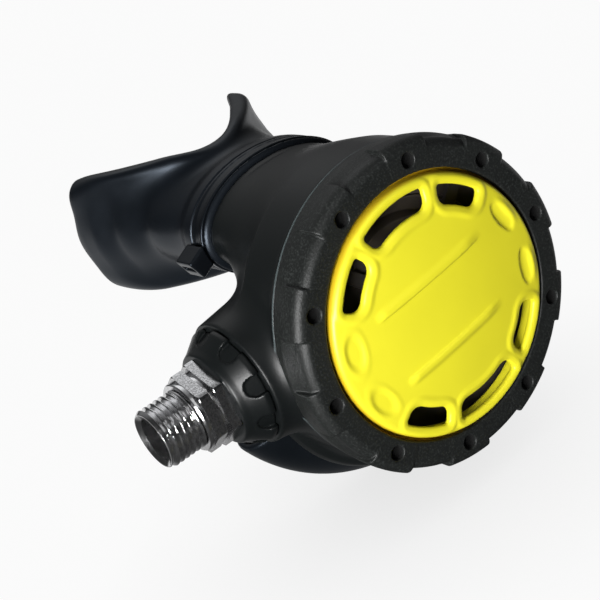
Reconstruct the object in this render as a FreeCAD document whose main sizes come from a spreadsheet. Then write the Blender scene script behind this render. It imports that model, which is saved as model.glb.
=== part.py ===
import FreeCAD, Part
import Sketcher
import math
import os
from FreeCAD import Matrix, Placement, Rotation, Vector

# The second stage of a scuba regulator: a demand valve with a purge cover, a mouthpiece
# and a threaded inlet. The origin is the centre of the front ring's face. +Y points at the
# diver, +Z up as worn, and the inlet points along -X. Lengths are millimetres.

SIZES = [
    # Front ring
    ("ring_grip", 3.0, "how far the front ring stands out over the collar"),
    ("ring_shoulder", 1.3, "how much smaller the ring's front face is than its widest part"),
    ("ring_widest", 5.0, "depth at which the ring is widest"),
    ("ring_taper", 0.7, "how much smaller the ring's back edge is than its widest part"),
    ("ring_depth", 9.7, "depth of the ring, front face to back edge"),
    ("ring_seat", 1.9, "width of the ring's seat on the slip ring"),
    ("ring_lip_width", 1.2, "how far the ring's lip reaches in over the purge cover's flange"),
    ("ring_lip", 2.2, "thickness of the lip round the opening"),
    ("spanner_inset", 1.4, "distance of the circle of spanner holes inside the collar's radius"),
    ("spanner_hole_radius", 1.75, "radius of a spanner hole"),
    ("spanner_hole_depth", 1.6, "depth of a spanner hole"),
    ("spanner_hole_count", 10, "number of spanner holes"),
    ("face_turn", 9.2, "turn of the ring about its axis, degrees"),
    ("scoop_bite", 3.3, "how far a grip scoop cuts in from the ring's greatest radius"),
    ("scoop_depth", 6.6, "depth at which a grip scoop runs out"),
    ("scoop_width", 18, "width of a grip scoop, degrees"),
    # Housing
    ("bowl_step", 1.1, "how far the housing's bowl stands out over the collar"),
    ("bowl_depth", 23.5, "depth at which the bowl turns into the neck"),
    ("wall", 2.6, "wall of the housing"),
    ("collar_radius", 34.7, "outer radius of the threaded collar inside the ring"),
    ("collar_wall", 1.3, "wall of the threaded collar"),
    ("collar_front", 4.9, "depth of the collar's front edge"),
    ("ledge_depth", 9.0, "depth of the ledge that carries the diaphragm"),
    ("ledge_width", 4.3, "width of the ledge, in from the collar's outer radius"),
    ("ledge_thickness", 1.6, "thickness of the ledge"),
    ("neck_end", 46.5, "depth at which the neck has narrowed to the mouth tube"),
    ("tube_height", 20.7, "height of the mouth tube's axis over the inlet's axis"),
    ("tube_half_width", 20.3, "half the mouth tube's outer width"),
    ("tube_half_height", 11.5, "half the mouth tube's outer height"),
    ("tube_start", 48.8, "depth of the shoulder where the mouth tube starts"),
    ("tube_end", 60.0, "depth of the mouth tube's end"),
    ("tube_wall", 1.9, "wall of the mouth tube"),
    ("shoulder_step", 1.2, "height of the shoulder over the mouth tube"),
    # Chin and exhaust port
    ("chin_drop", 10.0, "drop of the chin's axis under the ring's axis"),
    ("chin_front", 12.0, "depth at which the chin starts"),
    ("chin_front_inset", 9.0, "how much smaller the chin's front is than the bowl"),
    ("chin_back", 29.0, "depth of the chin's back edge"),
    ("chin_back_inset", 1.6, "how much smaller the chin's back edge is than the bowl"),
    ("chin_recess", 0.9, "depth of the long recess round the chin"),
    ("port_radius", 11.0, "inner radius of the exhaust port"),
    ("port_wall", 1.8, "wall of the exhaust port"),
    ("port_tilt", 70.0, "angle of the exhaust port's axis from straight down, degrees"),
    ("port_depth", 35.0, "depth of the exhaust port's centre"),
    ("port_height", 2.4, "height of the port's seat over the neck"),
    ("port_bar", 2.0, "width of a bar across the port"),
    # Inlet
    ("inlet_depth", 24.7, "depth of the inlet's axis behind the ring's face"),
    ("boss_radius", 13.6, "radius of the boss at the collar"),
    ("boss_root_radius", 15.0, "radius of the boss at the bowl"),
    ("boss_length", 5.0, "length of the boss outside the bowl"),
    ("inlet_collar_radius", 13.9, "radius of the inlet collar at the boss"),
    ("inlet_collar_nose", 11.0, "radius of the inlet collar at the nut"),
    ("inlet_collar_length", 6.6, "length of the inlet collar"),
    ("pocket_count", 9, "number of pockets round the inlet collar"),
    ("pocket_radius", 2.2, "half the width of a pocket, and the radius of its round end"),
    ("pocket_length", 4.1, "length of a pocket along the inlet collar"),
    ("pocket_depth", 0.9, "depth of a pocket at the boss"),
    ("pocket_slope", 18.0, "slope of a pocket's floor towards the axis, degrees"),
    ("pocket_turn", 85.0, "angle of a pocket from the depth axis, degrees"),
    ("nut_width", 18.0, "width of the lock nut across its flats"),
    ("nut_thickness", 2.6, "thickness of the lock nut"),
    ("hex_gap", 1.0, "gap between the lock nut and the barrel's hexagon"),
    ("hex_width", 17.0, "width of the barrel's hexagon across its flats"),
    ("hex_thickness", 2.7, "thickness of the barrel's hexagon"),
    ("hex_turn", 82.0, "angle of a hexagon's corner from the depth axis, degrees"),
    ("thread_radius", 7.14, "crest radius of the hose thread"),
    ("thread_pitch", 1.411, "pitch of the hose thread"),
    ("thread_depth", 0.75, "depth of the hose thread"),
    ("thread_crest", 0.36, "width of a crest of the hose thread"),
    ("thread_count", 6, "number of thread grooves"),
    ("thread_relief", 0.7, "length of the plain part between the barrel's hexagon and the thread"),
    ("thread_run", 9.6, "length of the threaded end"),
    ("inlet_bore", 5.3, "radius of the inlet's bore"),
    # Valve
    ("shank_radius", 6.6, "radius of the barrel"),
    ("seal_width", 1.8, "width of the rubber ring in the boss's mouth"),
    ("seal_height", 1.9, "height of that ring over the barrel"),
    ("barrel_bore", 4.6, "radius of the bore that the poppet slides in"),
    ("barrel_inset", 13.2, "distance of the barrel's inner end from the bowl's outside"),
    ("orifice_inset", 4.3, "distance of the orifice's edge from the bowl's outside"),
    ("orifice_radius", 4.8, "outer radius of the orifice"),
    ("orifice_bore", 2.0, "radius of the orifice's bore"),
    ("orifice_length", 11.5, "length of the orifice"),
    ("poppet_radius", 4.3, "radius of the poppet's head"),
    ("poppet_head", 3.9, "length of the poppet's head"),
    ("seat_radius", 3.2, "radius of the poppet's seat disc"),
    ("seat_thickness", 1.5, "thickness of the poppet's seat disc"),
    ("stem_radius", 1.5, "radius of the poppet's stem"),
    ("spring_stop", 10.0, "distance of the barrel's spring stop from the ring's axis"),
    ("spring_stop_thickness", 2.0, "thickness of the barrel's spring stop"),
    ("lever_inset", 4.6, "distance of the lever's pivot from the barrel's inner end"),
    ("lever_thickness", 1.2, "thickness of the lever"),
    ("lever_width", 6.0, "width of the lever's arm"),
    ("foot_height", 6.0, "height of the lever's feet"),
    ("foot_thickness", 1.6, "thickness of the lever's feet"),
    ("washer_thickness", 0.9, "thickness of the lever's washer"),
    ("poppet_nut_width", 5.5, "width of the poppet's nut across its flats"),
    ("poppet_nut_height", 3.0, "height of the poppet's nut"),
    # Diaphragm and purge cover
    ("bead_height", 1.6, "height of the diaphragm's bead"),
    ("web", 0.7, "thickness of the diaphragm's web"),
    ("fold_depth", 2.1, "depth of the diaphragm's fold"),
    ("plate_radius", 16.0, "radius of the diaphragm's plate"),
    ("plate_thickness", 1.0, "thickness of the diaphragm's plate"),
    ("guide_rim_height", 1.5, "height of the purge guide's rim"),
    ("guide_bar", 1.2, "thickness of the purge guide's bars"),
    ("guide_hub_radius", 8.0, "radius of the purge guide's hub"),
    ("slip_ring_height", 0.7, "thickness of the slip ring"),
    ("cover_gap", 0.9, "gap between the purge cover and the ring"),
    ("cover_edge", 0.35, "depth of the purge cover's edge behind the ring's face"),
    ("cover_rise", 3.0, "height of the purge cover's middle over the ring's face"),
    ("cover_wall", 1.7, "wall of the purge cover"),
    ("cover_flange", 1.0, "thickness of the purge cover's flange"),
    ("purge_travel", 3.0, "travel of the purge cover"),
    ("push_radius", 4.0, "radius of the purge cover's push pin"),
    ("slot_border", 2.3, "width of the purge cover's border outside its slots"),
    ("slot_width", 5.0, "width of the purge cover's slots"),
    ("dimple_depth", 0.6, "depth of the purge cover's dimples"),
    ("ridge_height", 0.4, "height of the purge cover's ridges"),
    ("purge_coil_radius", 6.4, "mean radius of the purge spring"),
    ("purge_wire", 0.8, "wire diameter of the purge spring"),
    ("purge_turns", 4.5, "turns of the purge spring"),
    ("valve_coil_radius", 3.3, "mean radius of the valve spring"),
    ("valve_wire", 0.7, "wire diameter of the valve spring"),
    ("valve_turns", 7, "turns of the valve spring"),
    # Exhaust
    ("flap_stem", 1.15, "radius of the exhaust valve's stem"),
    ("flap_stem_length", 4.6, "length of the exhaust valve's stem"),
    ("flap_thickness", 1.0, "thickness of the exhaust valve"),
    ("tee_drop", 9.7, "how far the exhaust diffuser reaches past the bowl"),
    ("tee_depth", 36.5, "depth of the exhaust diffuser's middle"),
    ("tee_half_depth", 11.0, "half the diffuser's depth at its middle"),
    ("tee_half_height", 24.0, "half the diffuser's height at its middle"),
    ("tee_end_half_height", 10.5, "half the height of a diffuser outlet"),
    ("tee_end_half_depth", 8.5, "half the depth of a diffuser outlet"),
    ("tee_sweep", 61.0, "angle of an outlet from straight down, degrees"),
    ("tee_wall", 1.8, "wall of the exhaust diffuser"),
    # Mouthpiece
    ("sleeve_wall", 1.6, "wall of the mouthpiece's sleeve"),
    ("tie_width", 4.8, "width of the mouthpiece tie"),
    ("tie_thickness", 1.2, "thickness of the mouthpiece tie"),
    ("tie_start", 50.6, "depth of the tie's front edge"),
    ("tie_head_width", 7.0, "width of the tie's head along the depth axis"),
    ("tie_head_height", 5.4, "height of the tie's head round the sleeve"),
    ("tie_head_thickness", 4.6, "how far the tie's head stands out over the tie"),
    ("tie_head_tilt", 26.0, "angle of the tie's head below the tube's widest place, degrees"),
    ("bead_step", 1.3, "height of the sleeve's beads over the tie's groove"),
    ("flange_depth", 69.0, "depth of the mouth flange at its middle"),
    ("flare_step", 2.2, "how much the sleeve widens where it meets the flange"),
    ("flange_sweep", 31.0, "how far the mouth flange's ends sweep back"),
    ("flange_half_width", 30.5, "half the mouth flange's width"),
    ("flange_half_height", 16.5, "half the mouth flange's height"),
    ("flange_thickness", 3.0, "thickness of the mouth flange"),
    ("flange_end", 103.0, "depth of the mouth flange's ends"),
    ("flange_top_corner", 7.0, "radius of the flange's upper corners"),
    ("flange_bottom_corner", 8.5, "radius of the flange's lower corners"),
    ("bite_thickness", 3.4, "thickness of a bite tab"),
    ("bite_inner", 11.0, "distance of a bite tab's inner ridge from the middle"),
    ("bite_ridge", 2.6, "thickness of a bite tab's ridge"),
    ("bite_ridge_height", 12.0, "height of a bite tab's ridge"),
    ("bite_front", 84.0, "depth of a bite tab's front"),
    ("bite_end", 100.0, "depth of a bite tab's end"),
    # Clearances
    ("thread_clearance", 0.1, "between a screwed piece and its seat"),
    ("moving_clearance", 0.3, "between pieces that move past each other"),
    ("seat_gap", 0.1, "between pieces that bear on each other but move"),
]

doc = FreeCAD.newDocument("second_stage")
sheet = doc.addObject("Spreadsheet::Sheet", "Sizes")
for row, (alias, number, meaning) in enumerate(SIZES, start=1):
    sheet.set("A%d" % row, alias)
    sheet.set("B%d" % row, str(number))
    sheet.set("C%d" % row, meaning)
    sheet.setAlias("B%d" % row, alias)
doc.recompute()


class Size:
    """A length worked out from the sheet: its number, and the expression that keeps it up to date."""

    def __init__(self, number, text):
        self.number = number
        self.text = text

    def joined(self, other, sign, number):
        return Size(number, "(%s %s %s)" % (self.text, sign, as_size(other).text))

    def __add__(self, other):
        return self.joined(other, "+", self.number + as_size(other).number)

    def __sub__(self, other):
        return self.joined(other, "-", self.number - as_size(other).number)

    def __mul__(self, other):
        return self.joined(other, "*", self.number * as_size(other).number)

    def __truediv__(self, other):
        return self.joined(other, "/", self.number / as_size(other).number)

    def __neg__(self):
        return Size(-self.number, "(-1 * %s)" % self.text)

    def __float__(self):
        return float(self.number)


def as_size(value):
    """The value as a Size: a Size as it is, a plain number as its own expression."""
    return value if isinstance(value, Size) else Size(float(value), repr(float(value)))


class SheetSizes:
    """Each alias of the sheet as an attribute, such as of.ring_depth, and the sizes that follow
    from them."""

    def __getattr__(self, alias):
        return Size(float(getattr(sheet, alias)), "Sizes.%s" % alias)

    @property
    def ring_radius(self):
        return self.collar_radius + self.ring_grip

    @property
    def ring_face_radius(self):
        return self.ring_radius - self.ring_shoulder

    @property
    def ring_back_radius(self):
        return self.ring_radius - self.ring_taper

    @property
    def socket_radius(self):
        """Radius of the parts that fit inside the collar."""
        return self.collar_radius - self.collar_wall - self.thread_clearance

    @property
    def cavity_radius(self):
        """Radius of the ring's cavity, in which the purge cover's flange moves."""
        return self.socket_radius - self.ring_seat

    @property
    def ring_opening(self):
        return self.cavity_radius - self.ring_lip_width

    @property
    def spanner_circle(self):
        return (self.collar_radius - self.spanner_inset) * 2

    @property
    def scoop_inner(self):
        return self.ring_radius - self.scoop_bite

    @property
    def bowl_radius(self):
        return self.collar_radius + self.bowl_step

    @property
    def ledge_radius(self):
        return self.collar_radius - self.ledge_width

    @property
    def chin_front_radius(self):
        return self.bowl_radius - self.chin_front_inset

    @property
    def chin_back_radius(self):
        return self.bowl_radius - self.chin_back_inset

    @property
    def boss_end(self):
        return self.bowl_radius + self.boss_length

    @property
    def inlet_collar_end(self):
        return self.boss_end + self.inlet_collar_length

    @property
    def inlet_end(self):
        hexagons = self.nut_thickness + self.hex_gap + self.hex_thickness
        return self.inlet_collar_end + hexagons + self.thread_relief + self.thread_run

    @property
    def barrel_end(self):
        return self.bowl_radius - self.barrel_inset

    @property
    def orifice_seat(self):
        return self.bowl_radius - self.orifice_inset

    @property
    def lever_pivot(self):
        return self.barrel_end - self.lever_inset

    @property
    def cover_flange_radius(self):
        return self.cavity_radius - self.moving_clearance

    @property
    def cover_radius(self):
        return self.ring_opening - self.cover_gap

    @property
    def slot_outer(self):
        return self.cover_radius - self.slot_border

    @property
    def slot_inner(self):
        return self.slot_outer - self.slot_width

    @property
    def tee_radius(self):
        return self.bowl_radius + self.tee_drop


of = SheetSizes()
pieces = {}


def keep(name, thing):
    """Names an object as a finished piece."""
    thing.Label = name
    pieces[name] = thing
    return thing


def bind(thing, **properties):
    """Ties properties of an object to the sheet; a double underscore stands for a dot."""
    for name, value in properties.items():
        thing.setExpression(name.replace("__", "."), as_size(value).text)


def origin_plane(body, role):
    """The plane or axis of a body's origin that has a role."""
    for feature in body.Origin.OriginFeatures:
        if feature.Role == role:
            return feature


def profile(body, name, points, role="XY_Plane"):
    """A closed sketch whose corners are tied to the sheet. A corner with a third value starts an
    arc of that radius to the next corner; a negative radius bulges to the other side."""
    sketch = body.newObject("Sketcher::SketchObject", name)
    sketch.AttachmentSupport = [(origin_plane(body, role), "")]
    sketch.MapMode = "FlatFace"
    corners = [tuple(as_size(value) for value in point) for point in points]
    for index, corner in enumerate(corners):
        following = corners[(index + 1) % len(corners)]
        start = Vector(corner[0].number, corner[1].number, 0)
        end = Vector(following[0].number, following[1].number, 0)
        if len(corner) == 2:
            sketch.addGeometry(Part.LineSegment(start, end), False)
        else:
            sketch.addGeometry(arc_between(start, end, corner[2].number), False)
    for index, corner in enumerate(corners):
        geometry = sketch.Geometry[index]
        start = Vector(corner[0].number, corner[1].number, 0)
        reversed_arc = isinstance(geometry, Part.ArcOfCircle) and (geometry.StartPoint - start).Length > 1e-6
        own_start = 2 if reversed_arc else 1
        own_end = 1 if reversed_arc else 2
        after = (index + 1) % len(corners)
        next_geometry = sketch.Geometry[after]
        next_start = Vector(corners[after][0].number, corners[after][1].number, 0)
        next_is_arc = isinstance(next_geometry, Part.ArcOfCircle)
        turned_next = next_is_arc and (next_geometry.StartPoint - next_start).Length > 1e-6
        next_end = 2 if turned_next else 1
        sketch.addConstraint(Sketcher.Constraint("Coincident", index, own_end, after, next_end))
        place_x = Sketcher.Constraint("DistanceX", -1, 1, index, own_start, corner[0].number)
        place_y = Sketcher.Constraint("DistanceY", -1, 1, index, own_start, corner[1].number)
        across = sketch.addConstraint(place_x)
        along = sketch.addConstraint(place_y)
        sketch.setExpression("Constraints[%d]" % across, corner[0].text)
        sketch.setExpression("Constraints[%d]" % along, corner[1].text)
        if len(corner) == 3:
            bend = sketch.addConstraint(Sketcher.Constraint("Radius", index, abs(corner[2].number)))
            sketch.setExpression("Constraints[%d]" % bend, "abs(%s)" % corner[2].text)
    return sketch


def arc_between(start, end, radius):
    """The short arc of a radius between two points of a plane. It bulges left of the way for a
    positive radius."""
    half = (end - start) * 0.5
    height = math.sqrt(max(radius * radius - half.dot(half), 0.0))
    side = Vector(-half.y, half.x, 0).normalize()
    centre = start + half - side * math.copysign(height, radius)
    middle = centre + side * radius
    return Part.Arc(start, middle, end)


def turned(name, points, about="y", depth=None):
    """A body turned about the depth axis from (radius, depth) corners, or about the inlet's axis
    from (place, radius) corners."""
    body = doc.addObject("PartDesign::Body", name + "_body")
    sketch = profile(body, name + "_profile", points)
    turn = body.newObject("PartDesign::Revolution", name + "_turn")
    turn.Profile = sketch
    turn.ReferenceAxis = (sketch, ["V_Axis" if about == "y" else "H_Axis"])
    turn.Angle = 360
    body.Tip = turn
    if about == "x":
        body.setExpression("Placement.Base.y", (depth or of.inlet_depth).text)
    return body


def soften(body, name, radius, places):
    """Rounds the circular edges whose (radius, place along the axis) pairs are given."""
    doc.recompute()
    base = body.Tip
    axis = base.ReferenceAxis[1][0]
    chosen = []
    for index, edge in enumerate(base.Shape.Edges, start=1):
        if not isinstance(edge.Curve, Part.Circle):
            continue
        centre = edge.Curve.Center
        along = centre.y if axis == "V_Axis" else centre.x
        for edge_radius, place in places:
            if abs(edge.Curve.Radius - float(edge_radius)) < 0.01 and abs(along - float(place)) < 0.01:
                chosen.append("Edge%d" % index)
    fillet = body.newObject("PartDesign::Fillet", name)
    fillet.Base = (base, chosen)
    fillet.setExpression("Radius", as_size(radius).text)
    body.Tip = fillet
    return fillet


def hexagon(name, width, thickness, place):
    """A hexagonal prism on the inlet's axis, as wide across its flats as given, with chamfered corners."""
    prism = doc.addObject("Part::Prism", name + "_prism")
    prism.Polygon = 6
    bind(prism, Circumradius=width / math.sqrt(3), Height=thickness)
    prism.Placement = Placement(Vector(), Rotation(Vector(0, 1, 0), 90))
    bind(prism, Placement__Base__x=place, Placement__Base__y=of.inlet_depth)
    turn_about_inlet(prism)
    chamfer = width * 0.02
    cone = turned(name + "_round", [
        (place, 0),
        (place, width / 2 + chamfer),
        (place + thickness * 0.25, width / math.sqrt(3) + chamfer),
        (place + thickness * 0.75, width / math.sqrt(3) + chamfer),
        (place + thickness, width / 2 + chamfer),
        (place + thickness, 0),
    ], about="x")
    shape = doc.addObject("Part::Common", name)
    shape.Base = prism
    shape.Tool = cone
    return shape


def turn_about_inlet(prism):
    """Turns a prism about the inlet's axis so that a corner stands at the hexagons' angle."""
    base = Rotation(Vector(0, 1, 0), 90)
    spin = Rotation(Vector(1, 0, 0), float(of.hex_turn) - 90)
    prism.Placement = Placement(prism.Placement.Base, spin.multiply(base))


def united(name, things):
    shape = doc.addObject("Part::MultiFuse", name)
    shape.Shapes = things
    return shape


def cut(name, base, tools):
    """One object less one or more others."""
    shape = doc.addObject("Part::Cut", name)
    shape.Base = base
    shape.Tool = tools[0] if len(tools) == 1 else united(name + "_tools", tools)
    return shape


def block(name, corner, sizes):
    """A box from its lowest corner and its three sizes."""
    box = doc.addObject("Part::Box", name)
    bind(box, Length=sizes[0], Width=sizes[1], Height=sizes[2])
    bind(box, Placement__Base__x=corner[0], Placement__Base__y=corner[1], Placement__Base__z=corner[2])
    return box


def worked(name, shape):
    """A feature whose shape is worked out from the sheet's sizes."""
    feature = doc.addObject("Part::Feature", name)
    feature.Shape = shape
    return feature


def smooth(share):
    """An even step from 0 to 1."""
    share = min(max(share, 0.0), 1.0)
    return share * share * (3 - 2 * share)


def mix(first, last, share):
    return first + (last - first) * share


def oval_wire(half_width, half_height, depth, height=0.0):
    """An upright oval across the depth axis. Its seam is always at its +X end."""
    circle = Part.Wire([Part.makeCircle(1.0, Vector(), Vector(0, 1, 0))])
    stretch = Matrix()
    stretch.scale(half_width, 1.0, half_height)
    wire = circle.transformGeometry(stretch)
    wire.translate(Vector(0, depth, height))
    return wire


def oval_rod(half_width, half_height, front, back, height):
    """A straight oval solid along the depth axis."""
    face = Part.Face(oval_wire(half_width, half_height, front, height))
    return face.extrude(Vector(0, back - front, 0))


def rod(radius, start, direction, length):
    return Part.makeCylinder(radius, length, start, direction)


# Front ring

def front_ring():
    """The ring that screws over the housing's collar, with its spanner holes and grip scoops."""
    shoulder = of.ledge_depth - of.bead_height - of.guide_rim_height - of.slip_ring_height
    cavity = of.cavity_radius
    socket = of.socket_radius
    collar_gap = of.collar_front - of.moving_clearance
    bore = of.collar_radius + of.thread_clearance
    blank = turned("ring", [
        (of.ring_opening, 0),
        (of.ring_face_radius, 0),
        (of.ring_radius, of.ring_shoulder * 1.5),
        (of.ring_radius, of.ring_widest),
        (of.ring_back_radius, of.ring_depth),
        (bore, of.ring_depth),
        (bore, collar_gap),
        (socket, collar_gap),
        (socket, shoulder),
        (cavity, shoulder),
        (cavity, of.ring_lip),
        (of.ring_opening, of.ring_lip),
    ])
    soften(blank, "ring_edge", 0.5, [(of.ring_opening, 0)])
    drill_spanner_holes(blank)
    scoops = [scoop(index) for index in range(int(float(of.spanner_hole_count)))]
    return keep("front_ring", cut("front_ring", blank, scoops))


def drill_spanner_holes(body):
    """The circle of round holes in the ring's face."""
    sketch = body.newObject("Sketcher::SketchObject", "spanner_hole_sketch")
    sketch.AttachmentSupport = [(origin_plane(body, "XZ_Plane"), "")]
    sketch.MapMode = "FlatFace"
    turn = math.radians(float(of.face_turn))
    radius = float(of.spanner_circle) / 2
    centre = Vector(radius * math.cos(turn), radius * math.sin(turn), 0)
    sketch.addGeometry(Part.Circle(centre, Vector(0, 0, 1), float(of.spanner_hole_radius)), False)
    size = sketch.addConstraint(Sketcher.Constraint("Radius", 0, float(of.spanner_hole_radius)))
    across = sketch.addConstraint(Sketcher.Constraint("DistanceX", -1, 1, 0, 3, centre.x))
    along = sketch.addConstraint(Sketcher.Constraint("DistanceY", -1, 1, 0, 3, centre.y))
    sketch.setExpression("Constraints[%d]" % size, of.spanner_hole_radius.text)
    circle = (of.spanner_circle / 2).text
    sketch.setExpression("Constraints[%d]" % across, "%s * cos(Sizes.face_turn * 1 deg)" % circle)
    sketch.setExpression("Constraints[%d]" % along, "%s * sin(Sizes.face_turn * 1 deg)" % circle)
    doc.recompute()
    before = body.Tip.Shape.Volume
    hole = body.newObject("PartDesign::Pocket", "spanner_hole")
    hole.Profile = sketch
    hole.setExpression("Length", of.spanner_hole_depth.text)
    doc.recompute()
    if hole.Shape.isNull() or hole.Shape.Volume > before - 1:
        hole.Reversed = True
        doc.recompute()
    pattern = body.newObject("PartDesign::PolarPattern", "spanner_holes")
    pattern.Originals = [hole]
    pattern.Axis = (origin_plane(body, "Y_Axis"), [""])
    pattern.Angle = 360
    pattern.Occurrences = int(float(of.spanner_hole_count))
    body.Tip = pattern


def scoop(index):
    """The tool for one grip scoop: a slanting sector between two spanner holes."""
    step = 360.0 / float(of.spanner_hole_count)
    middle = float(of.face_turn) + step * (index + 0.5)
    reach = float(of.ring_radius)
    slope = (reach - float(of.scoop_inner)) / float(of.scoop_depth)
    over = 2.0
    corners = [
        Vector(float(of.scoop_inner) - slope * over, -over, 0),
        Vector(reach + slope * over, float(of.scoop_depth) + over, 0),
        Vector(reach + slope * over, -over, 0),
    ]
    face = Part.Face(Part.makePolygon(corners + corners[:1]))
    width = float(of.scoop_width)
    tool = face.revolve(Vector(), Vector(0, 1, 0), width)
    # A turn about +Y takes +X towards -Z, so the sector is set by a negative turn.
    tool.rotate(Vector(), Vector(0, 1, 0), -middle - width / 2)
    return worked("scoop_%d" % (index + 1), tool)


# Housing

def neck_sizes(share):
    """Half width, half height and middle height of the neck at a share of its length."""
    step = smooth(share)
    narrowing = max(1.0 - share, 0.0) ** 1.6
    shoulder = float(of.shoulder_step)
    half_width = mix(float(of.tube_half_width) + shoulder, float(of.bowl_radius), narrowing)
    half_height = mix(float(of.bowl_radius), float(of.tube_half_height) + shoulder, step)
    return half_width, half_height, float(of.tube_height) * step


def neck_share(depth):
    """The share of the neck's length that a depth stands for."""
    return (depth - float(of.bowl_depth)) / (float(of.neck_end) - float(of.bowl_depth))


def neck_section(share, shrink, shift):
    """The neck's outline at a share of its length, made smaller by shrink and moved forward by shift."""
    half_width, half_height, height = neck_sizes(share)
    depth = mix(float(of.bowl_depth), float(of.neck_end), share)
    return oval_wire(half_width - shrink, half_height - shrink, depth - shift, height)


def neck(shrink=0.0, shift=0.0):
    """The solid that blends the round bowl into the oval mouth tube."""
    sections = [neck_section(step / 3, shrink, shift) for step in range(4)]
    return Part.makeLoft(sections, True, False)


def housing_outside(grow=0.0):
    """The housing's outer form without its inlet boss, made larger by grow."""
    bowl = rod(float(of.bowl_radius) + grow, Vector(0, float(of.ring_depth) - grow, 0), Vector(0, 1, 0),
               float(of.bowl_depth) - float(of.ring_depth) + grow)
    step = float(of.shoulder_step) + grow
    straight = oval_rod(float(of.tube_half_width) + step, float(of.tube_half_height) + step,
                        float(of.neck_end) + grow, float(of.tube_start), float(of.tube_height))
    return bowl.fuse([neck(-grow, -grow), straight, chin(grow)])


def chin(grow=0.0):
    """The bulge under the bowl, round an axis below the bowl's own."""
    start = Vector(0, float(of.chin_front), -float(of.chin_drop))
    length = float(of.chin_back) - float(of.chin_front)
    cone = Part.makeCone(float(of.chin_front_radius) + grow, float(of.chin_back_radius) + grow, length,
                         start, Vector(0, 1, 0))
    back = Part.makeCone(float(of.chin_back_radius) + grow, float(of.chin_back_radius) - 1.2, 1.2 + grow,
                         start + Vector(0, length, 0), Vector(0, 1, 0))
    return cone.fuse(back)


def chin_recess():
    """The long lens-shaped recess between the chin's two rims."""
    rim = 0.22
    shares = (rim, 1 - rim * 0.55)
    start, end = [mix(float(of.chin_front), float(of.chin_back), share) for share in shares]
    inner = [mix(float(of.chin_front_radius), float(of.chin_back_radius), share) for share in shares]
    depth = float(of.chin_recess)
    corners = [
        Vector(inner[0], start, 0),
        Vector(inner[0] - depth * 0.4, start + depth, 0),
        Vector(inner[1] - depth, end - depth * 0.6, 0),
        Vector(inner[1] + 0.2, end + 0.1, 0),
        Vector(inner[1] + 4, end, 0),
        Vector(inner[0] + 4, start, 0),
    ]
    face = Part.Face(Part.makePolygon(corners + corners[:1]))
    ring = face.revolve(Vector(), Vector(0, 1, 0), 360)
    ring.translate(Vector(0, 0, -float(of.chin_drop)))
    bowl = rod(float(of.bowl_radius) + 0.6, Vector(), Vector(0, 1, 0), float(of.tube_end))
    return ring.cut(bowl)


def crown_recess():
    """The shallow lens-shaped recess across the top of the neck."""
    bend = 60.0
    width = 3.0
    depth = 1.1
    place = float(of.neck_end) - 3.0
    half_height, height = neck_sizes(neck_share(place))[1:]
    middle = height + half_height - depth + width - bend
    return Part.makeTorus(bend, width, Vector(0, place, middle), Vector(0, 1, 0))


def port_place():
    """The frame of the exhaust port: its origin on the neck's underside, its Z axis out of the port."""
    half_height, height = neck_sizes(neck_share(float(of.port_depth)))[1:]
    # With no tilt the port would point straight down.
    tilt = Rotation(Vector(1, 0, 0), float(of.port_tilt) - 180)
    return Placement(Vector(0, float(of.port_depth), height - half_height), tilt)


def placed(shape, place):
    shape = shape.copy()
    shape.Placement = place.multiply(shape.Placement)
    return shape


def port_rod(radius, low, high):
    """A cylinder on the port's axis, between two heights over the neck."""
    return placed(rod(radius, Vector(0, 0, low), Vector(0, 0, 1), high - low), port_place())


def port_bars():
    """The cross and hub in the exhaust port that hold the flap's stem."""
    high = float(of.port_height) - 0.6
    low = high - 1.6
    reach = float(of.port_radius) + 0.3
    width = float(of.port_bar)
    hub = rod(2.6, Vector(0, 0, low), Vector(0, 0, 1), high - low)
    for angle in (0, 60, 120):
        bar = Part.makeBox(2 * reach, width, high - low, Vector(-reach, -width / 2, low))
        bar.rotate(Vector(), Vector(0, 0, 1), angle)
        hub = hub.fuse(bar)
    hole = rod(float(of.flap_stem) + 0.1, Vector(0, 0, low - 1), Vector(0, 0, 1), high - low + 2)
    return placed(hub.cut(hole), port_place())


def boss(grow=0.0):
    """The inlet boss, from inside the bowl's wall to the inlet collar."""
    start = float(of.bowl_radius) - 6
    length = float(of.boss_end) - start
    return Part.makeCone(float(of.boss_root_radius) + grow, float(of.boss_radius) + grow, length,
                         Vector(-start, float(of.inlet_depth), 0), Vector(-1, 0, 0))


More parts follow.
